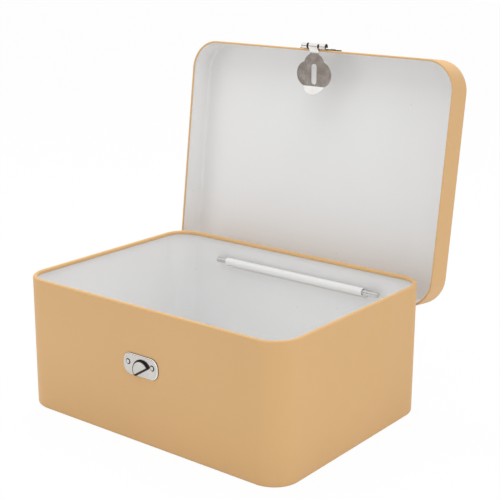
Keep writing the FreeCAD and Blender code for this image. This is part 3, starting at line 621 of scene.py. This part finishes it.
def white_lining():
    """White paint as the tan is, with dust specks laid over its colour."""
    known = bpy.data.materials.get("white lining")
    if known:
        return known
    looks = settings().finishes
    values = {"Colour": looks.lining, "Drift": 0.008, "Gloss": looks.lining_roughness}
    material = finish_of("white lining", paint_group(), values, relief=0.10, metallic=0.0)
    tree = material.node_tree
    shader = tree.nodes["Principled BSDF"]
    painted = shader.inputs["Base Color"].links[0].from_socket
    specks = tree.nodes.new("ShaderNodeGroup")
    specks.node_tree = speck_group()
    specks.inputs["Darkness"].default_value = SPECK_DARKNESS
    tree.links.new(painted, specks.inputs["Colour"])
    tree.links.new(specks.outputs["Colour"], shader.inputs["Base Color"])
    return material


def bare_metal(name, tone, roughness, relief):
    values = {"Colour": tone, "Gloss": roughness}
    return finish_of(name, metal_group(), values, relief, metallic=1.0)


def nickel():
    looks = settings().finishes
    return bare_metal("polished nickel", looks.nickel, looks.nickel_roughness, relief=0.05)


def steel():
    looks = settings().finishes
    return bare_metal("drawn steel", looks.steel, looks.steel_roughness, relief=0.10)


# Near-black metal that paints shade on edges, rivet skirts, the knob and the hasp pin.
def painted_shade_metal():
    looks = settings().finishes
    return bare_metal("painted shade metal", looks.painted_shade, looks.painted_shade_roughness, relief=0.10)


# Pieces

class TINBOX_OT_wall(bpy.types.Operator):
    """Draw the wall with its rolled rim and turned-in foot, and slot it for the hinge"""
    bl_idname = "tin_box.wall"
    bl_label = "Box wall"

    def execute(self, context):
        box, lid = settings().box, settings().lid
        back = box.depth / 2
        pen = Pen("box_wall", (0, back - box.lip, 0))
        pen.line(0, back - box.foot, 0)
        pen.arc((0, back - box.foot, box.foot), 90, X_AXIS, 8)
        pen.line(0, back, box.height - box.rim)
        pen.arc((0, back - box.rim, box.height - box.rim), 270, X_AXIS, 18)
        sweep_round(box.width / 2 - box.corner, back - box.corner, 0, 20)
        weld()
        face_towards(pen.piece, (0, back, box.height / 2), Y_AXIS)
        dress(pen.piece, tan_paint(), white_lining())
        thicken(pen.piece, box.gauge)
        # The slot's cut edges take the cutter's finish, the lining.
        half_slot = box.slot_height / 2
        slot = rounded_plate("slot_cutter", box.slot_length / 2, half_slot, half_slot - TINY, 8)
        through = 10 * box.rim
        slide((0, 0, through))
        weld()
        select_none()
        dress(slot, tan_paint(), white_lining())
        second_finish(slot, lambda middle, normal: True)
        stand(slot, (0, back + through / 2, lid.hinge_z))
        cut(pen.piece, slot)
        drill_for_stem(pen.piece)
        hand_in(pen.piece, "tan_paint", "body_wall")
        return {"FINISHED"}


class TINBOX_OT_base(bpy.types.Operator):
    """Press the base panel with its dished field"""
    bl_idname = "tin_box.base"
    bl_label = "Base panel"

    def execute(self, context):
        box = settings().box
        edge = box.foot + box.base_gap
        field_border = 0.3 * box.corner
        piece = rounded_plate(
            "base_panel_sheet", box.width / 2 - edge, box.depth / 2 - edge, box.corner - edge, 14
        )
        bpy.ops.transform.translate(value=(0, 0, 2 * box.gauge))
        bpy.ops.mesh.select_mode(type="FACE")
        select_mesh()
        bpy.ops.mesh.inset(thickness=box.lip + box.base_gap - edge, depth=0)
        bpy.ops.mesh.inset(thickness=box.gauge, depth=-box.gauge)
        bpy.ops.mesh.inset(thickness=field_border, depth=0)
        face_towards(piece, (0, 0, 0), Z_AXIS)
        dress(piece, white_lining(), tan_paint())
        thicken(piece, box.gauge)
        hand_in(piece, "tan_paint", "base_panel")
        return {"FINISHED"}


class TINBOX_OT_lid(bpy.types.Operator):
    """Draw the lid, cut its rim for the hinge and roll the tongue round the wire"""
    bl_idname = "tin_box.lid"
    bl_label = "Lid"

    def shell(self, box, lid):
        half_depth = box.depth / 2 + lid.overhang
        back = half_depth - lid.forward
        corner = box.corner + lid.overhang
        curl = (0, back - lid.curl, lid.top - lid.skirt + lid.curl)
        pen = Pen("lid_sheet", (0, curl[1], curl[2] + lid.curl))
        pen.arc(curl, 270, X_AXIS, 14)
        pen.line(0, back, lid.top - lid.edge)
        pen.arc((0, back - lid.edge, lid.top - lid.edge), 90, X_AXIS, 10)
        sweep_round(
            box.width / 2 + lid.overhang - corner, half_depth - corner, -lid.forward, 20
        )
        piece = pen.piece
        merge_doubles()
        pick(piece, "EDGE", lambda point: point.z > lid.top - TINY)
        bpy.ops.mesh.edge_face_add()
        bpy.ops.mesh.inset(thickness=2 * lid.edge, depth=0)
        weld()
        face_towards(piece, (0, 0, lid.top), Z_AXIS)
        dress(piece, tan_paint(), white_lining())
        thicken(piece, box.gauge)
        self.cut_rim(piece, box, lid, back - lid.curl)
        return piece

    def cut_rim(self, piece, box, lid, depth):
        """Take the rolled rim away where the tongue leaves the skirt."""
        side_gap = 0.2 * MM
        size = Vector((box.slot_length + 2 * side_gap, 6 * lid.curl, 5 * lid.curl))
        cutter = start_from(bpy.ops.mesh.primitive_cube_add, "rim_cutter", size=1)
        bpy.ops.transform.resize(value=size)
        bpy.ops.transform.translate(value=(0, depth, lid.tongue_root - size.z / 2))
        cut(piece, cutter)

    def tongue(self, box, lid):
        """The sheet from the skirt's white side in through the slot and round the wire."""
        white = box.depth / 2 + lid.overhang - lid.forward - box.gauge
        slope = lid.tongue_slope
        start = Vector((0, -math.cos(slope), -math.sin(slope))) * lid.tongue_reach
        start += Vector((0, lid.hinge_y, lid.hinge_z))
        under = Vector((0, math.sin(slope), -math.cos(slope)))
        roll_centre = start + under * (lid.roll - box.gauge / 2)
        bend_y = white - lid.tongue_bend
        bend_z = (
            lid.hinge_z + (bend_y - lid.hinge_y) * math.tan(slope)
            + (lid.tongue_bend + box.gauge / 2) / math.cos(slope)
        )
        half = lid.tongue / 2
        pen = Pen("hinge_tongue", (-half, white, lid.tongue_root))
        pen.line(-half, white, bend_z)
        pen.arc((-half, bend_y, bend_z), math.degrees(slope) - 90, X_AXIS, 8)
        roll_face = roll_centre - under * lid.roll
        pen.line(-half, roll_face.y, roll_face.z)
        pen.arc((-half, *roll_centre.yz), math.degrees(lid.roll_turn), X_AXIS, 36)
        select_mesh()
        slide((lid.tongue, 0, 0))
        weld()
        below = roll_centre - Z_AXIS * lid.roll
        face_towards(pen.piece, below, -Z_AXIS)
        dress(pen.piece, white_lining())
        thicken(pen.piece, box.gauge)
        return pen.piece

    def execute(self, context):
        box, lid = settings().box, settings().lid
        shell = self.shell(box, lid)
        put(shell, opened())
        tongue = self.tongue(box, lid)
        put(tongue, Matrix.Translation((lid.tongue_shift, 0, 0)) @ opened())
        hand_in(shell, "tan_paint", "lid_shell")
        smooth(tongue)
        select_none()
        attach(tongue, body_of("lid_shell"))
        return {"FINISHED"}


class TINBOX_OT_wire(bpy.types.Operator):
    """Turn the hinge wire with its eased ends"""
    bl_idname = "tin_box.wire"
    bl_label = "Hinge wire"

    def execute(self, context):
        lid = settings().lid
        low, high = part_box("hinge_wire")
        middle = (low + high) / 2 + X_AXIS * lid.wire_shift
        half = lid.wire_length / 2
        ease = 0.5 * MM
        profile = (
            (0, -half), (lid.wire - ease, -half), (lid.wire, -half + ease),
            (lid.wire, half - ease), (lid.wire - ease, half), (0, half),
        )
        piece = lathe("hinge_wire_rod", profile, 32)
        dress(piece, steel())
        put(piece, Matrix.Translation(middle) @ Matrix.Rotation(math.radians(90), 4, "Y"))
        hand_in(piece, "steel_wire", "hinge_wire")
        return {"FINISHED"}


class TINBOX_OT_rivets(bpy.types.Operator):
    """Turn one rivet and set a pair in each plate"""
    bl_idname = "tin_box.rivets"
    bl_label = "Rivets"

    # Share of the head's radius, and millimetres over the plate or behind the sheet
    CROWN = ((0, 0.42), (0.35, 0.41), (0.65, 0.34), (0.87, 0.2), (1, 0), (0.6, -0.01))
    TAIL = ((0.6, 0), (0.93, 0), (0.8, 0.4), (0, 0.5))
    # Height of the band round the head's foot that takes painted shade
    SHADED_SKIRT = 0.3 * MM

    def rivet(self, name, clasp, grip):
        """A domed head whose skirt takes painted shade, a dark ring round its foot, a shank and a
        flatter tail.
        """
        profile = [(part * clasp.rivet, rise * MM) for part, rise in self.CROWN]
        profile += [(part * clasp.rivet, -grip - fall * MM) for part, fall in self.TAIL]
        piece = lathe(name, profile, 28)
        select_none()
        dress(piece, nickel(), painted_shade_metal())
        second_finish(piece, lambda middle, normal: 0 < middle.z < self.SHADED_SKIRT)
        return piece

    def pair(self, name, clasp, grip, face_y, height):
        first = self.rivet(name, clasp, grip)
        take(first)
        bpy.ops.object.duplicate()
        second = bpy.context.object
        half = clasp.rivet_spacing / 2
        stand(first, (-half, face_y, height))
        stand(second, (half, face_y, height))
        return join(first, second)

    def execute(self, context):
        box, clasp = settings().box, settings().clasp
        lower = self.pair(
            "knob_rivets", clasp, clasp.plate_gauge + box.gauge,
            -box.depth / 2 - clasp.plate_gauge, clasp.knob_height + clasp.rivet_lift,
        )
        hand_in(lower, "nickel", "knob_plate_rivets")
        pin = shut_pin()
        plate_face = pin.y + clasp.knuckle - clasp.hasp_gauge
        upper = self.pair(
            "hasp_rivets", clasp, clasp.hasp_gauge + clasp.seat_gap + box.gauge,
            plate_face, pin.z + clasp.hasp_rivet_rise,
        )
        put(upper, opened())
        hand_in(upper, "nickel", "hasp_plate_rivets")
        return {"FINISHED"}


class TINBOX_OT_knob_plate(bpy.types.Operator):
    """Stamp the plate under the knob"""
    bl_idname = "tin_box.knob_plate"
    bl_label = "Knob plate"

    def execute(self, context):
        box, clasp = settings().box, settings().clasp
        half_x, half_y = clasp.plate_width / 2, clasp.plate_height / 2
        piece = rounded_plate("knob_plate_sheet", half_x, half_y, clasp.plate_corner, 12)
        slide((0, 0, clasp.plate_gauge))
        weld()
        pick(piece, "EDGE", lambda corner: corner.z > clasp.plate_gauge - TINY)
        bpy.ops.mesh.bevel(offset=clasp.plate_bevel, segments=6, profile=0.5, affect="EDGES")
        select_none()
        dress(piece, nickel(), painted_shade_metal())
        # The plate's sides take painted shade, the dark edge its shadow makes.
        second_finish(piece, lambda middle, normal: abs(normal.z) < 0.5)
        stand(piece, (0, -box.depth / 2, clasp.knob_height + clasp.plate_lift))
        drill_for_stem(piece)
        hand_in(piece, "nickel", "knob_plate")
        return {"FINISHED"}


class TINBOX_OT_knob(bpy.types.Operator):
    """Shape the turn knob: a flat leaf with a rim of painted shade, over a dark sheet of painted
    shadow, on a stem
    """
    bl_idname = "tin_box.knob"
    bl_label = "Turn knob"

    # Radius and fall of the stem's riveted end, in millimetres
    STEM_END = ((2.5, 0), (2.3, 0.6), (0, 0.7))

    def leaf(self, name, clasp, margin, gauge):
        """A flat leaf with one straight side and one bowed side."""
        half = clasp.leaf_length / 2 + margin
        straight, bow = clasp.leaf_straight + margin, clasp.leaf_bow + margin
        centre = (straight ** 2 + half ** 2 - bow ** 2) / (2 * (straight + bow))
        reach = math.degrees(math.atan2(half, centre - straight))
        pen = Pen(name, (straight, -half, 0))
        pen.line(straight, half, 0)
        pen.arc((centre, 0, 0), 2 * reach, Z_AXIS, 32)
        merge_doubles()
        pick(pen.piece, "VERT", lambda corner: corner.x > straight - TINY)
        bpy.ops.mesh.bevel(offset=clasp.leaf_corner, segments=8, profile=0.5, affect="VERTICES")
        fill_outline()
        slide((0, 0, gauge))
        weld()
        return pen.piece

    def blade(self, clasp):
        """The leaf, its face set off by a narrow flat rim that takes painted shade."""
        blade = self.leaf("turn_knob_blade", clasp, 0, clasp.leaf_gauge)
        ease_edges(blade, clasp.leaf_ease, 4)
        bpy.ops.object.mode_set(mode="EDIT")
        pick(blade, "FACE", lambda corner: corner.z > clasp.leaf_gauge - TINY)
        bpy.ops.mesh.inset(thickness=clasp.leaf_shade_rim, depth=0)
        bpy.ops.object.mode_set(mode="OBJECT")
        return blade

    def stem(self, box, clasp, foot):
        """The stem from the leaf through the wall, its end riveted over inside."""
        top = foot + 0.2 * MM
        tail = box.depth / 2 - box.gauge - clasp.stem_tail
        end = [(radius * MM, tail - fall * MM) for radius, fall in self.STEM_END]
        return lathe("knob_stem", ((0, top), (clasp.stem, top), (clasp.stem, tail), *end), 32)

    def execute(self, context):
        box, clasp = settings().box, settings().clasp
        foot = box.depth / 2 + clasp.leaf_foot
        seat = box.depth / 2 + clasp.plate_gauge + 0.1 * MM
        blade = self.blade(clasp)
        # A dark sheet a little larger than the leaf lies under it as painted shadow.
        shadow_sheet = self.leaf("knob_shadow_sheet", clasp, clasp.shadow_sheet, clasp.shadow_sheet_gauge)
        ease_edges(shadow_sheet, 0.1 * MM)
        stem = self.stem(box, clasp, foot)
        select_none()
        for piece, depth in ((blade, foot), (shadow_sheet, seat), (stem, 0)):
            dress(piece, nickel(), painted_shade_metal())
            stand(piece, (0, -depth, 0))
        # Only the face inside the rim has its middle near the axis; all else on the leaf takes
        # painted shade, its dark outline.
        near, flat = 1.5 * MM, -0.95
        second_finish(
            blade,
            lambda middle, normal: normal.y > flat or math.hypot(middle.x, middle.z) > near,
        )
        second_finish(shadow_sheet, lambda middle, normal: True)
        join(blade, shadow_sheet, stem)
        put(
            blade,
            Matrix.Translation((0, 0, clasp.knob_height + clasp.knob_lift))
            @ Matrix.Rotation(clasp.knob_angle, 4, "Y"),
        )
        hand_in(blade, "nickel", "turn_knob")
        return {"FINISHED"}


class TINBOX_OT_hasp_plate(bpy.types.Operator):
    """Stamp the plate on the lid's front and roll its two knuckles"""
    bl_idname = "tin_box.hasp_plate"
    bl_label = "Hasp plate"

    def knuckle(self, clasp, pin, start):
        """A knuckle rolled round the pin from a strip that runs up into the plate."""
        strip = 3 * MM
        back = pin.y + clasp.knuckle
        pen = Pen("hasp_plate_knuckle", (start, back, pin.z + strip))
        pen.line(start, back, pin.z)
        pen.arc((start, pin.y, pin.z), -math.degrees(clasp.knuckle_turn), X_AXIS, 28)
        select_mesh()
        slide((clasp.knuckle_length, 0, 0))
        weld()
        face_towards(pen.piece, pin - Y_AXIS * clasp.knuckle, -Y_AXIS)
        thicken(pen.piece, clasp.hasp_gauge)
        return pen.piece

    def execute(self, context):
        clasp = settings().clasp
        pin = shut_pin()
        seam = pin.z + clasp.knuckle
        low = seam + clasp.hasp_plate_gap
        top = pin.z + clasp.hasp_plate_top
        half_x, half_y = clasp.plate_width / 2, (top - low) / 2
        plate = rounded_plate("hasp_plate_sheet", half_x, half_y, clasp.hasp_plate_corner, 8)
        slide((0, 0, clasp.hasp_gauge))
        weld()
        stand(plate, (0, pin.y + clasp.knuckle, (low + top) / 2))
        left = self.knuckle(clasp, pin, -clasp.knuckle_start - clasp.knuckle_length)
        right = self.knuckle(clasp, pin, clasp.knuckle_start)
        join(plate, left, right)
        ease_edges(plate, clasp.hasp_ease)
        dress(plate, nickel(), painted_shade_metal())
        # The knuckles' ends and the plate's cut edges take painted shade, dark as a bore or an
        # edge in shadow
        second_finish(
            plate,
            lambda middle, normal: abs(normal.x) > 0.9
            or (abs(normal.y) < 0.3 and middle.z > seam),
        )
        put(plate, opened())
        hand_in(plate, "nickel", "hasp_plate")
        return {"FINISHED"}


class TINBOX_OT_hasp(bpy.types.Operator):
    """Cut the lobed hasp, step its face, bend its tab and roll its knuckle"""
    bl_idname = "tin_box.hasp"
    bl_label = "Hasp"

    def blank(self, clasp):
        """The flat outline seen from the front, hung from the pin."""
        lobe, offset, half_neck = clasp.lobe, clasp.lobe_offset, clasp.neck / 2
        middle = -clasp.drop
        face = -clasp.knuckle
        notch = (offset + math.sqrt(2 * lobe * lobe - offset * offset)) / 2
        near = math.degrees(math.atan2(notch - offset, notch))
        neck_turn = math.degrees(math.acos(half_neck / lobe)) - near
        lobe_turn = 180 - 2 * near
        foot = middle + offset + math.sqrt(lobe * lobe - half_neck * half_neck)
        pen = Pen("hasp_sheet", (half_neck, face, 0))
        pen.line(half_neck, face, foot)
        pen.arc((0, face, middle + offset), neck_turn, Y_AXIS, 8)
        for x, z in ((offset, middle), (0, middle - offset), (-offset, middle)):
            pen.arc((x, face, z), lobe_turn, Y_AXIS, 26)
        pen.arc((0, face, middle + offset), neck_turn, Y_AXIS, 8)
        pen.line(-half_neck, face, 0)
        merge_doubles()
        fill_outline()
        return pen.piece, notch

    def crease(self, height):
        select_mesh()
        bpy.ops.mesh.bisect(plane_co=(0, 0, height), plane_no=(0, 0, 1))

    def set_back(self, piece, clasp):
        """Push the face back below the step, one row of points at a time."""
        rows = sorted({
            round(vertex.co.z / TINY) for vertex in bmesh.from_edit_mesh(piece.data).verts
        })
        fall = clasp.step_end - clasp.step_start
        for row in rows:
            depth = min(max((-row * TINY - clasp.step_start) / fall, 0), 1) * clasp.step
            if depth:
                pick(piece, "VERT", lambda corner, row=row: round(corner.z / TINY) == row)
                bpy.ops.transform.translate(value=(0, depth, 0))

    def bend_tab(self, piece, clasp, face, fold):
        """Bend the lowest lobe out to the front, as a finger tab."""
        pick(piece, "VERT", lambda corner: corner.z < fold - TINY)
        bpy.ops.transform.rotate(
            value=clasp.tab_angle, orient_axis="X", center_override=(0, face, fold)
        )
        pick(
            piece, "EDGE",
            lambda corner: abs(corner.z - fold) < TINY and abs(corner.y - face) < TINY,
        )
        bpy.ops.mesh.bevel(offset=clasp.tab_bend, segments=4, affect="EDGES")

    def execute(self, context):
        clasp = settings().clasp
        low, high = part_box("hasp_pin")
        pin = (low + high) / 2
        piece, notch = self.blank(clasp)
        fold = -clasp.drop - notch
        face = clasp.step - clasp.knuckle
        for height in (-clasp.step_start, -clasp.step_end, fold):
            self.crease(height)
        self.set_back(piece, clasp)
        self.bend_tab(piece, clasp, face, fold)
        pick(piece, "EDGE", lambda corner: abs(corner.z) < TINY)
        turn((0, 0, 0), -math.degrees(clasp.knuckle_turn), X_AXIS, 28)
        weld()
        face_towards(piece, (0.6 * clasp.lobe, face, -clasp.drop), -Y_AXIS)
        thicken(piece, clasp.hasp_gauge)
        half_x, half_y = clasp.slot_width / 2, clasp.slot_length / 2
        slot = rounded_plate("hasp_slot_cutter", half_x, half_y, half_x - TINY, 10)
        through = 10 * clasp.step
        slide((0, 0, through))
        weld()
        stand(slot, (0, through / 2, -clasp.drop))
        cut(piece, slot)
        ease_edges(piece, clasp.hasp_ease)
        dress(piece, nickel())
        put(piece, Matrix.Translation(pin))
        hand_in(piece, "nickel", "hasp_leaf")
        return {"FINISHED"}


class TINBOX_OT_small_parts(bpy.types.Operator):
    """Finish the solids that stay as they are: the hasp pin and the washer"""
    bl_idname = "tin_box.small_parts"
    bl_label = "Pin and washer"

    def execute(self, context):
        # The pin takes painted shade, so the knuckles' ends look like dark bores.
        dress(frame["nodes"]["hasp_pin"], painted_shade_metal())
        dress(frame["nodes"]["knob_washer"], steel())
        return {"FINISHED"}


class TINBOX_OT_stage(bpy.types.Operator):
    """Set the pale floor, the soft light and the camera"""
    bl_idname = "tin_box.stage"
    bl_label = "Stage"

    WHITE = (1.0, 1.0, 1.0, 1.0)
    AMBIENT = 0.66
    FLOOR_SHADE = (0.86, 0.86, 0.86, 1.0)
    FLOOR_GLOW = 0.97
    # Name, place, what it points at, size and watts
    LAMPS = (
        ("overhead", (0, -0.25, 1.1), (0, 0, 0), 0.9, 3.2),
        ("behind", (-0.35, 0.32, 1.0), (0, -0.05, 0.05), 0.3, 4.5),
        ("left", (-0.7, -0.9, 0.3), (0, 0, 0.0), 0.6, 1.1),
        ("right", (1.2, -0.1, 0.35), (0.1, 0, 0.04), 0.7, 2.6),
    )
    # Name, place, what it faces, size and shade
    CARDS = (
        ("brown card", (-0.54, -0.67, 0.10), (0, 0.10, 0.22), 0.6, (0.28, 0.245, 0.225)),
        ("grey card", (-0.11, -0.20, 0.0005), (-0.11, -0.20, 1), 0.2, (0.72, 0.71, 0.70)),
    )
    # Degrees to the right of the front, above level and rolled
    CAMERA_TURN = (38.010, 15.745, 0.293)
    # Metres along the camera's own right, up and back
    CAMERA_PLACE = (0.018363, 0.107947, 0.813557)
    SENSOR = 36
    FOCAL_PIXELS, FRAME_PIXELS = 1167.97, 500

    def seen(self, tree):
        """1 for rays that show the background: straight to the camera, or by a mirror or glass."""
        path = tree.nodes.new("ShaderNodeLightPath")
        ray = path.outputs
        both = math_node(tree, "MAXIMUM", ray["Is Camera Ray"], ray["Is Glossy Ray"])
        return math_node(tree, "MAXIMUM", both, ray["Is Transmission Ray"])

    def shown(self, tree, share, first, second, output):
        """Mix a share of the second shader over the first, and show them."""
        mix = tree.nodes.new("ShaderNodeMixShader")
        tree.links.new(share, mix.inputs["Fac"])
        tree.links.new(first.outputs[0], mix.inputs[1])
        tree.links.new(second.outputs[0], mix.inputs[2])
        tree.links.new(mix.outputs[0], tree.nodes[output].inputs["Surface"])

    def world(self, scene):
        world = bpy.data.worlds.new("studio")
        scene.world = world
        world.use_nodes = True
        tree = world.node_tree
        light = tree.nodes["Background"]
        light.inputs["Color"].default_value = self.WHITE
        light.inputs["Strength"].default_value = self.AMBIENT
        white = tree.nodes.new("ShaderNodeBackground")
        white.inputs["Color"].default_value = self.WHITE
        white.inputs["Strength"].default_value = 1.0
        self.shown(tree, self.seen(tree), light, white, "World Output")

    def floor(self):
        select_none()
        bpy.ops.mesh.primitive_plane_add(size=8, location=(0, 0, -0.2 * MM))
        floor = bpy.context.object
        floor.name = "floor"
        material, tree = new_material("pale floor")
        shader = tree.nodes["Principled BSDF"]
        shader.inputs["Base Color"].default_value = self.FLOOR_SHADE
        shader.inputs["Roughness"].default_value = 0.8
        shader.inputs["Specular IOR Level"].default_value = 0.2
        glow = tree.nodes.new("ShaderNodeEmission")
        glow.inputs["Strength"].default_value = 1.0
        glowing = math_node(tree, "MULTIPLY", self.seen(tree), self.FLOOR_GLOW)
        self.shown(tree, glowing, shader, glow, "Material Output")
        dress(floor, material)

    def card(self, name, place, target, size, shade):
        """A card that only shows in the polished pieces, as a dark part of the room would."""
        select_none()
        facing = (Vector(target) - Vector(place)).to_track_quat("Z", "Y").to_euler()
        bpy.ops.mesh.primitive_plane_add(size=size, location=place, rotation=facing)
        card = bpy.context.object
        card.name = name
        material, tree = new_material(name)
        tree.nodes.remove(tree.nodes["Principled BSDF"])
        glow = tree.nodes.new("ShaderNodeEmission")
        glow.inputs["Color"].default_value = (*shade, 1.0)
        tree.links.new(glow.outputs[0], tree.nodes["Material Output"].inputs["Surface"])
        dress(card, material)
        card.visible_camera = card.visible_diffuse = False
        card.visible_shadow = card.visible_transmission = False

    def softbox(self, name, place, target, size, watts):
        """A square lamp that lights the pieces and doesn't show in them."""
        data = bpy.data.lights.new(name, "AREA")
        data.shape = "SQUARE"
        data.size = size
        data.energy = watts
        lamp = bpy.data.objects.new(name, data)
        bpy.context.scene.collection.objects.link(lamp)
        lamp.location = place
        lamp.rotation_euler = (Vector(target) - Vector(place)).to_track_quat("-Z", "Y").to_euler()
        lamp.visible_glossy = False

    def camera(self, scene):
        azimuth, height, roll = (math.radians(degrees) for degrees in self.CAMERA_TURN)
        back = Vector((
            math.sin(azimuth) * math.cos(height),
            -math.cos(azimuth) * math.cos(height),
            math.sin(height),
        ))
        level = Vector((math.cos(azimuth), math.sin(azimuth), 0))
        tall = back.cross(level)
        right = level * math.cos(roll) + tall * math.sin(roll)
        up = tall * math.cos(roll) - level * math.sin(roll)
        data = bpy.data.cameras.new("camera")
        data.sensor_width = self.SENSOR
        data.lens = self.SENSOR * self.FOCAL_PIXELS / self.FRAME_PIXELS
        data.clip_end = 20
        camera = bpy.data.objects.new("camera", data)
        scene.collection.objects.link(camera)
        pose = Matrix((right, up, back)).transposed().to_4x4()
        aside, above, away = self.CAMERA_PLACE
        pose.translation = right * aside + up * above + back * away
        camera.matrix_world = pose
        scene.camera = camera

    def execute(self, context):
        scene = context.scene
        scene.view_settings.view_transform = "Standard"
        self.world(scene)
        self.floor()
        for lamp in self.LAMPS:
            self.softbox(*lamp)
        for card in self.CARDS:
            self.card(*card)
        self.camera(scene)
        return {"FINISHED"}


class TINBOX_PT_panel(bpy.types.Panel):
    """The money box's pieces and sizes"""
    bl_idname = "TINBOX_PT_panel"
    bl_label = "Tin money box"
    bl_space_type = "VIEW_3D"
    bl_region_type = "UI"
    bl_category = "Tin box"

    def draw(self, context):
        for operator in PIECES:
            self.layout.operator(operator.bl_idname)
        sizes = context.scene.tin_box
        for group in (sizes.box, sizes.lid, sizes.clasp, sizes.finishes):
            column = self.layout.column()
            for name in group.__annotations__:
                column.prop(group, name)


PIECES = (
    TINBOX_OT_wall, TINBOX_OT_base, TINBOX_OT_lid, TINBOX_OT_wire, TINBOX_OT_rivets,
    TINBOX_OT_knob_plate, TINBOX_OT_knob, TINBOX_OT_hasp_plate, TINBOX_OT_hasp,
    TINBOX_OT_small_parts, TINBOX_OT_stage,
)
GROUPS = (BoxSizes, LidSizes, ClaspSizes, Finishes, TinBox)


def register():
    for item in (*GROUPS, *PIECES, TINBOX_PT_panel):
        bpy.utils.register_class(item)
    bpy.types.Scene.tin_box = PointerProperty(type=TinBox)


def unregister():
    del bpy.types.Scene.tin_box
    for item in reversed((*GROUPS, *PIECES, TINBOX_PT_panel)):
        bpy.utils.unregister_class(item)


def main():
    register()
    bpy.ops.tin_box.wall()
    bpy.ops.tin_box.base()
    bpy.ops.tin_box.lid()
    bpy.ops.tin_box.wire()
    bpy.ops.tin_box.rivets()
    bpy.ops.tin_box.knob_plate()
    bpy.ops.tin_box.knob()
    bpy.ops.tin_box.hasp_plate()
    bpy.ops.tin_box.hasp()
    bpy.ops.tin_box.small_parts()
    bpy.ops.tin_box.stage()


if __name__ == "__main__":
    main()
